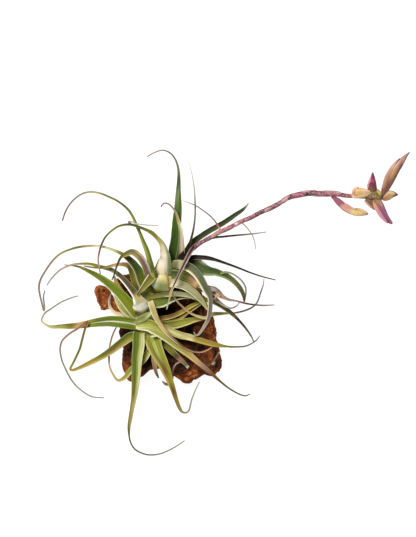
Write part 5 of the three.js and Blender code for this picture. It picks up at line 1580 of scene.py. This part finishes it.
def add_lump(bm, lump, settings):
    """A lump of bark: a ball pressed to its outline, with a broad, cleft and knobbly face."""
    radius = lump_radius(lump)
    tint = bm.verts.layers.float_color["tint"]
    rings = lump["rings"]
    ball = bmesh.ops.create_uvsphere(bm, u_segments=rings * 2, v_segments=rings, radius=1)
    for corner in ball["verts"]:
        px, py, pz = corner.co
        level = math.hypot(px, py)
        angle = math.atan2(py, px) if level > LEAST_GAP else 0
        reach = level**LUMP_SPREAD * radius(angle)
        x = lump["middle"][0] + math.cos(angle) * reach
        y = lump["middle"][1] + math.sin(angle) * reach
        rise = lump["face"] - BARK_GIRTH if pz >= 0 else BARK_UNDERCUT
        z = BARK_GIRTH + math.copysign(abs(pz) ** LUMP_SHOULDER, pz) * rise
        spot = Vector((x, y, z))
        plates = cork_plates(Vector((x, y * PLATE_STRETCH, z)), PLATE_SIZE)
        crumbs = cork_plates(spot + CRUMB_SHIFT, CRUMB_SIZE)
        broad = noise.fractal(spot * BROAD_PITCH, 1, 2, 3)
        rough = noise.fractal(spot * ROUGH_PITCH, 0.7, 2.2, 5)
        cork = plates - PLATE_LEVEL + CRUMB_HEIGHT * (crumbs - CRUMB_LEVEL) + ROUGH_HEIGHT * rough + broad
        relief = bark_relief(x, y, z) + settings.cork_relief / MM * cork
        outwards = relief * level**4 * 0.5
        upwards = relief * pz**0.5 if pz > 0 else 0
        z = max(z + upwards, 0)
        corner.co = Vector((x + math.cos(angle) * outwards, y + math.sin(angle) * outwards, z)) * MM
        tone = cork_tone(x, y, level, plates, crumbs, rough, broad) + lump["warmth"]
        colour = stop_value(BARK_TONES, min(max(tone, 0), 1))
        # Painted highlight: a small glint mixed in as a pale spot
        fleck = 1 - ease(*GLINT_EDGE, math.hypot(x - PAINTED_GLINT[0], y - PAINTED_GLINT[1]))
        corner[tint] = (*mix(colour, linear(PALETTE["silver"]), fleck), 1)


class PlantSettings(bpy.types.PropertyGroup):
    blade_thickness: FloatProperty(
        name="Blade thickness", description="Thickness of a leaf blade",
        default=0.0006, min=0.0002, max=0.002, unit="LENGTH",
    )
    channel_depth: FloatProperty(
        name="Channel depth", description="Depth of a leaf's channel as a share of its width",
        default=0.24, min=0, max=0.6, subtype="FACTOR",
    )
    blade_columns: IntProperty(
        name="Faces across a blade", description="Number of faces from one margin of a leaf to the other",
        default=14, min=2, max=24,
    )
    rod_sides: IntProperty(
        name="Faces round a stalk", description="Number of faces round a stem, stalk or spike",
        default=28, min=6, max=48,
    )
    stretch_steps: IntProperty(
        name="Steps in a stretch", description="Number of faces between two points of a route",
        default=6, min=2, max=16,
    )
    cork_relief: FloatProperty(
        name="Cork relief", description="Height of the cork's plates above the clefts between them",
        default=0.0022, min=0, max=0.004, unit="LENGTH",
    )
    bloom: FloatProperty(
        name="Silver bloom", description="How strongly the silver scales veil the leaves",
        default=0.06, min=0, max=1, subtype="FACTOR",
    )
    bloom_colour: FloatVectorProperty(
        name="Bloom colour", description="Colour of the silver scales on the leaves",
        default=linear(PALETTE["silver"]), min=0, max=1, subtype="COLOR",
    )


class StageSettings(bpy.types.PropertyGroup):
    camera_height: FloatProperty(
        name="Camera height", description="Height of the camera above the plant",
        default=8.0, unit="LENGTH",
    )
    frame_height: FloatProperty(
        name="Frame height", description="Height of the picture at the plant",
        default=0.40275, unit="LENGTH",
    )
    frame_middle: FloatVectorProperty(
        name="Frame middle", description="Point of the plant in the middle of the picture",
        default=(0.036, 0.0461, 0.045), subtype="TRANSLATION",
    )
    lamp_place: FloatVectorProperty(
        name="Lamp place", description="Where the soft lamp hangs",
        default=(-0.55, 0.65, 1.9), subtype="TRANSLATION",
    )
    lamp_size: FloatProperty(
        name="Lamp size", description="Width of the soft lamp",
        default=0.8, unit="LENGTH",
    )
    lamp_power: FloatProperty(
        name="Lamp power", description="Power of the soft lamp over the plant",
        default=72.0, unit="POWER",
    )
    room_light: FloatProperty(
        name="Room light", description="Strength of the even light from all round",
        default=0.4, min=0,
    )
    glow: FloatProperty(
        name="Table glow", description="Strength of the light table's own light",
        default=0.92, min=0,
    )
    table_colour: FloatVectorProperty(
        name="Table colour", description="Colour of the light table under its own light",
        default=linear("646464"), min=0, max=1, subtype="COLOR",
    )


class PLANT_OT_bark(bpy.types.Operator):
    """Builds the piece of bark"""

    bl_idname = "air_plant.bark"
    bl_label = "Bark"

    def execute(self, context):
        noise.seed_set(BARK_SEED)
        bm = new_piece_mesh()
        for lump in BARK_LUMPS:
            add_lump(bm, lump, context.scene.air_plant)
        finish_piece(bm, "bark_piece", "bark_mount", bark_material())
        return {"FINISHED"}


class PLANT_OT_lower_shoot(bpy.types.Operator):
    """Builds the lower leafy shoot"""

    bl_idname = "air_plant.lower_shoot"
    bl_label = "Lower shoot"

    def execute(self, context):
        settings = context.scene.air_plant
        skin = leaf_material(settings)
        leaves = LOWER_LEAVES.values()
        build_piece("lower_shoot", "lower_leafy_shoot", "lower_leaves", skin, settings, leaves, LOWER_STEM)
        return {"FINISHED"}


class PLANT_OT_upper_shoot(bpy.types.Operator):
    """Builds the upper leafy shoot and its dry curled leaf"""

    bl_idname = "air_plant.upper_shoot"
    bl_label = "Upper shoot"

    def execute(self, context):
        settings = context.scene.air_plant
        place = ("upper_leafy_shoot", "upper_leaves")
        leaves = UPPER_LEAVES.values()
        build_piece("upper_shoot", *place, leaf_material(settings), settings, leaves, UPPER_STEM)
        build_piece("dry_curled_leaf", *place, dry_leaf_material(), settings, DRY_LEAF.values())
        return {"FINISHED"}


class PLANT_OT_scape(bpy.types.Operator):
    """Builds the flower scape with its thread-tipped bracts"""

    bl_idname = "air_plant.scape"
    bl_label = "Flower scape"

    def execute(self, context):
        settings = context.scene.air_plant
        place = ("flower_scape", "scape")
        wraps = [scape_wrap(*wrap) for wrap in SCAPE_WRAPS]
        threads = SCAPE_THREADS.values()
        build_piece("scape_stalk", *place, scape_material(), settings, wraps, SCAPE)
        build_piece("scape_threads", *place, leaf_material(settings), settings, threads)
        return {"FINISHED"}


class PLANT_OT_flower_head(bpy.types.Operator):
    """Builds the spikes and bracts of the flower head"""

    bl_idname = "air_plant.flower_head"
    bl_label = "Flower head"

    def execute(self, context):
        settings = context.scene.air_plant
        skin = bract_material()
        for node, spike in SPIKES.items():
            bracts = [{"channel": BRACT_ARCH, **bract} for bract in spike.get("bracts", [])]
            build_piece(f"{node}_skin", node, spike["slot"], skin, settings, bracts, spike)
        return {"FINISHED"}


class PLANT_OT_stage(bpy.types.Operator):
    """Builds the floor, the light and the camera"""

    bl_idname = "air_plant.stage"
    bl_label = "Stage"

    def execute(self, context):
        scene = context.scene
        stage = scene.air_plant_stage
        bm = bmesh.new()
        bmesh.ops.create_grid(bm, x_segments=1, y_segments=1, size=FLOOR_REACH)
        bmesh.ops.translate(bm, verts=bm.verts, vec=(0, 0, -FLOOR_GAP))
        floor_mesh = bpy.data.meshes.new("floor")
        bm.to_mesh(floor_mesh)
        bm.free()
        # Milky light table that glows evenly, so shadows on it are faint
        table = new_material("milky_light_table")
        shader = add_node(
            table,
            "ShaderNodeBsdfPrincipled",
            values={
                "Base Color": (*stage.table_colour, 1),
                "Roughness": 1,
                "Specular IOR Level": 0,
                "Emission Color": (1, 1, 1, 1),
                "Emission Strength": stage.glow,
            },
        )
        add_node(table, "ShaderNodeOutputMaterial", {"Surface": shader.outputs["BSDF"]})
        floor_mesh.materials.append(table)
        floor = bpy.data.objects.new("floor", floor_mesh)
        scene.collection.objects.link(floor)

        world = bpy.data.worlds.new("room")
        world.use_nodes = True
        background = world.node_tree.nodes["Background"]
        background.inputs["Color"].default_value = (*linear("ffffff"), 1)
        background.inputs["Strength"].default_value = stage.room_light
        scene.world = world

        middle = Vector(stage.frame_middle)
        lamp = bpy.data.lights.new("soft_lamp", "AREA")
        lamp.shape = "DISK"
        lamp.size = stage.lamp_size
        lamp.energy = stage.lamp_power
        lamp_object = bpy.data.objects.new("soft_lamp", lamp)
        lamp_object.location = stage.lamp_place
        lamp_object.rotation_euler = (middle - lamp_object.location).to_track_quat("-Z", "Y").to_euler()
        scene.collection.objects.link(lamp_object)

        camera = bpy.data.cameras.new("camera")
        camera.sensor_width = SENSOR_WIDTH
        camera.lens = SENSOR_WIDTH * stage.camera_height / stage.frame_height
        camera.clip_end = 100
        camera_object = bpy.data.objects.new("camera", camera)
        camera_object.location = middle + Vector((0, 0, stage.camera_height))
        scene.collection.objects.link(camera_object)
        scene.camera = camera_object
        scene.view_settings.view_transform = "Standard"
        return {"FINISHED"}


class PLANT_PT_pieces(bpy.types.Panel):
    """Lists the pieces of the air plant"""

    bl_label = "Air plant"
    bl_idname = "PLANT_PT_pieces"
    bl_space_type = "VIEW_3D"
    bl_region_type = "UI"
    bl_category = "Air plant"

    def draw(self, context):
        for operator in OPERATORS:
            self.layout.operator(operator.bl_idname)


OPERATORS = (
    PLANT_OT_bark,
    PLANT_OT_lower_shoot,
    PLANT_OT_upper_shoot,
    PLANT_OT_scape,
    PLANT_OT_flower_head,
    PLANT_OT_stage,
)
CLASSES = (PlantSettings, StageSettings, *OPERATORS, PLANT_PT_pieces)


def register():
    for item in CLASSES:
        bpy.utils.register_class(item)
    bpy.types.Scene.air_plant = bpy.props.PointerProperty(type=PlantSettings)
    bpy.types.Scene.air_plant_stage = bpy.props.PointerProperty(type=StageSettings)


def unregister():
    del bpy.types.Scene.air_plant_stage
    del bpy.types.Scene.air_plant
    for item in reversed(CLASSES):
        bpy.utils.unregister_class(item)


def main():
    register()
    bpy.ops.air_plant.bark()
    bpy.ops.air_plant.lower_shoot()
    bpy.ops.air_plant.upper_shoot()
    bpy.ops.air_plant.scape()
    bpy.ops.air_plant.flower_head()
    bpy.ops.air_plant.stage()


if __name__ == "__main__":
    main()
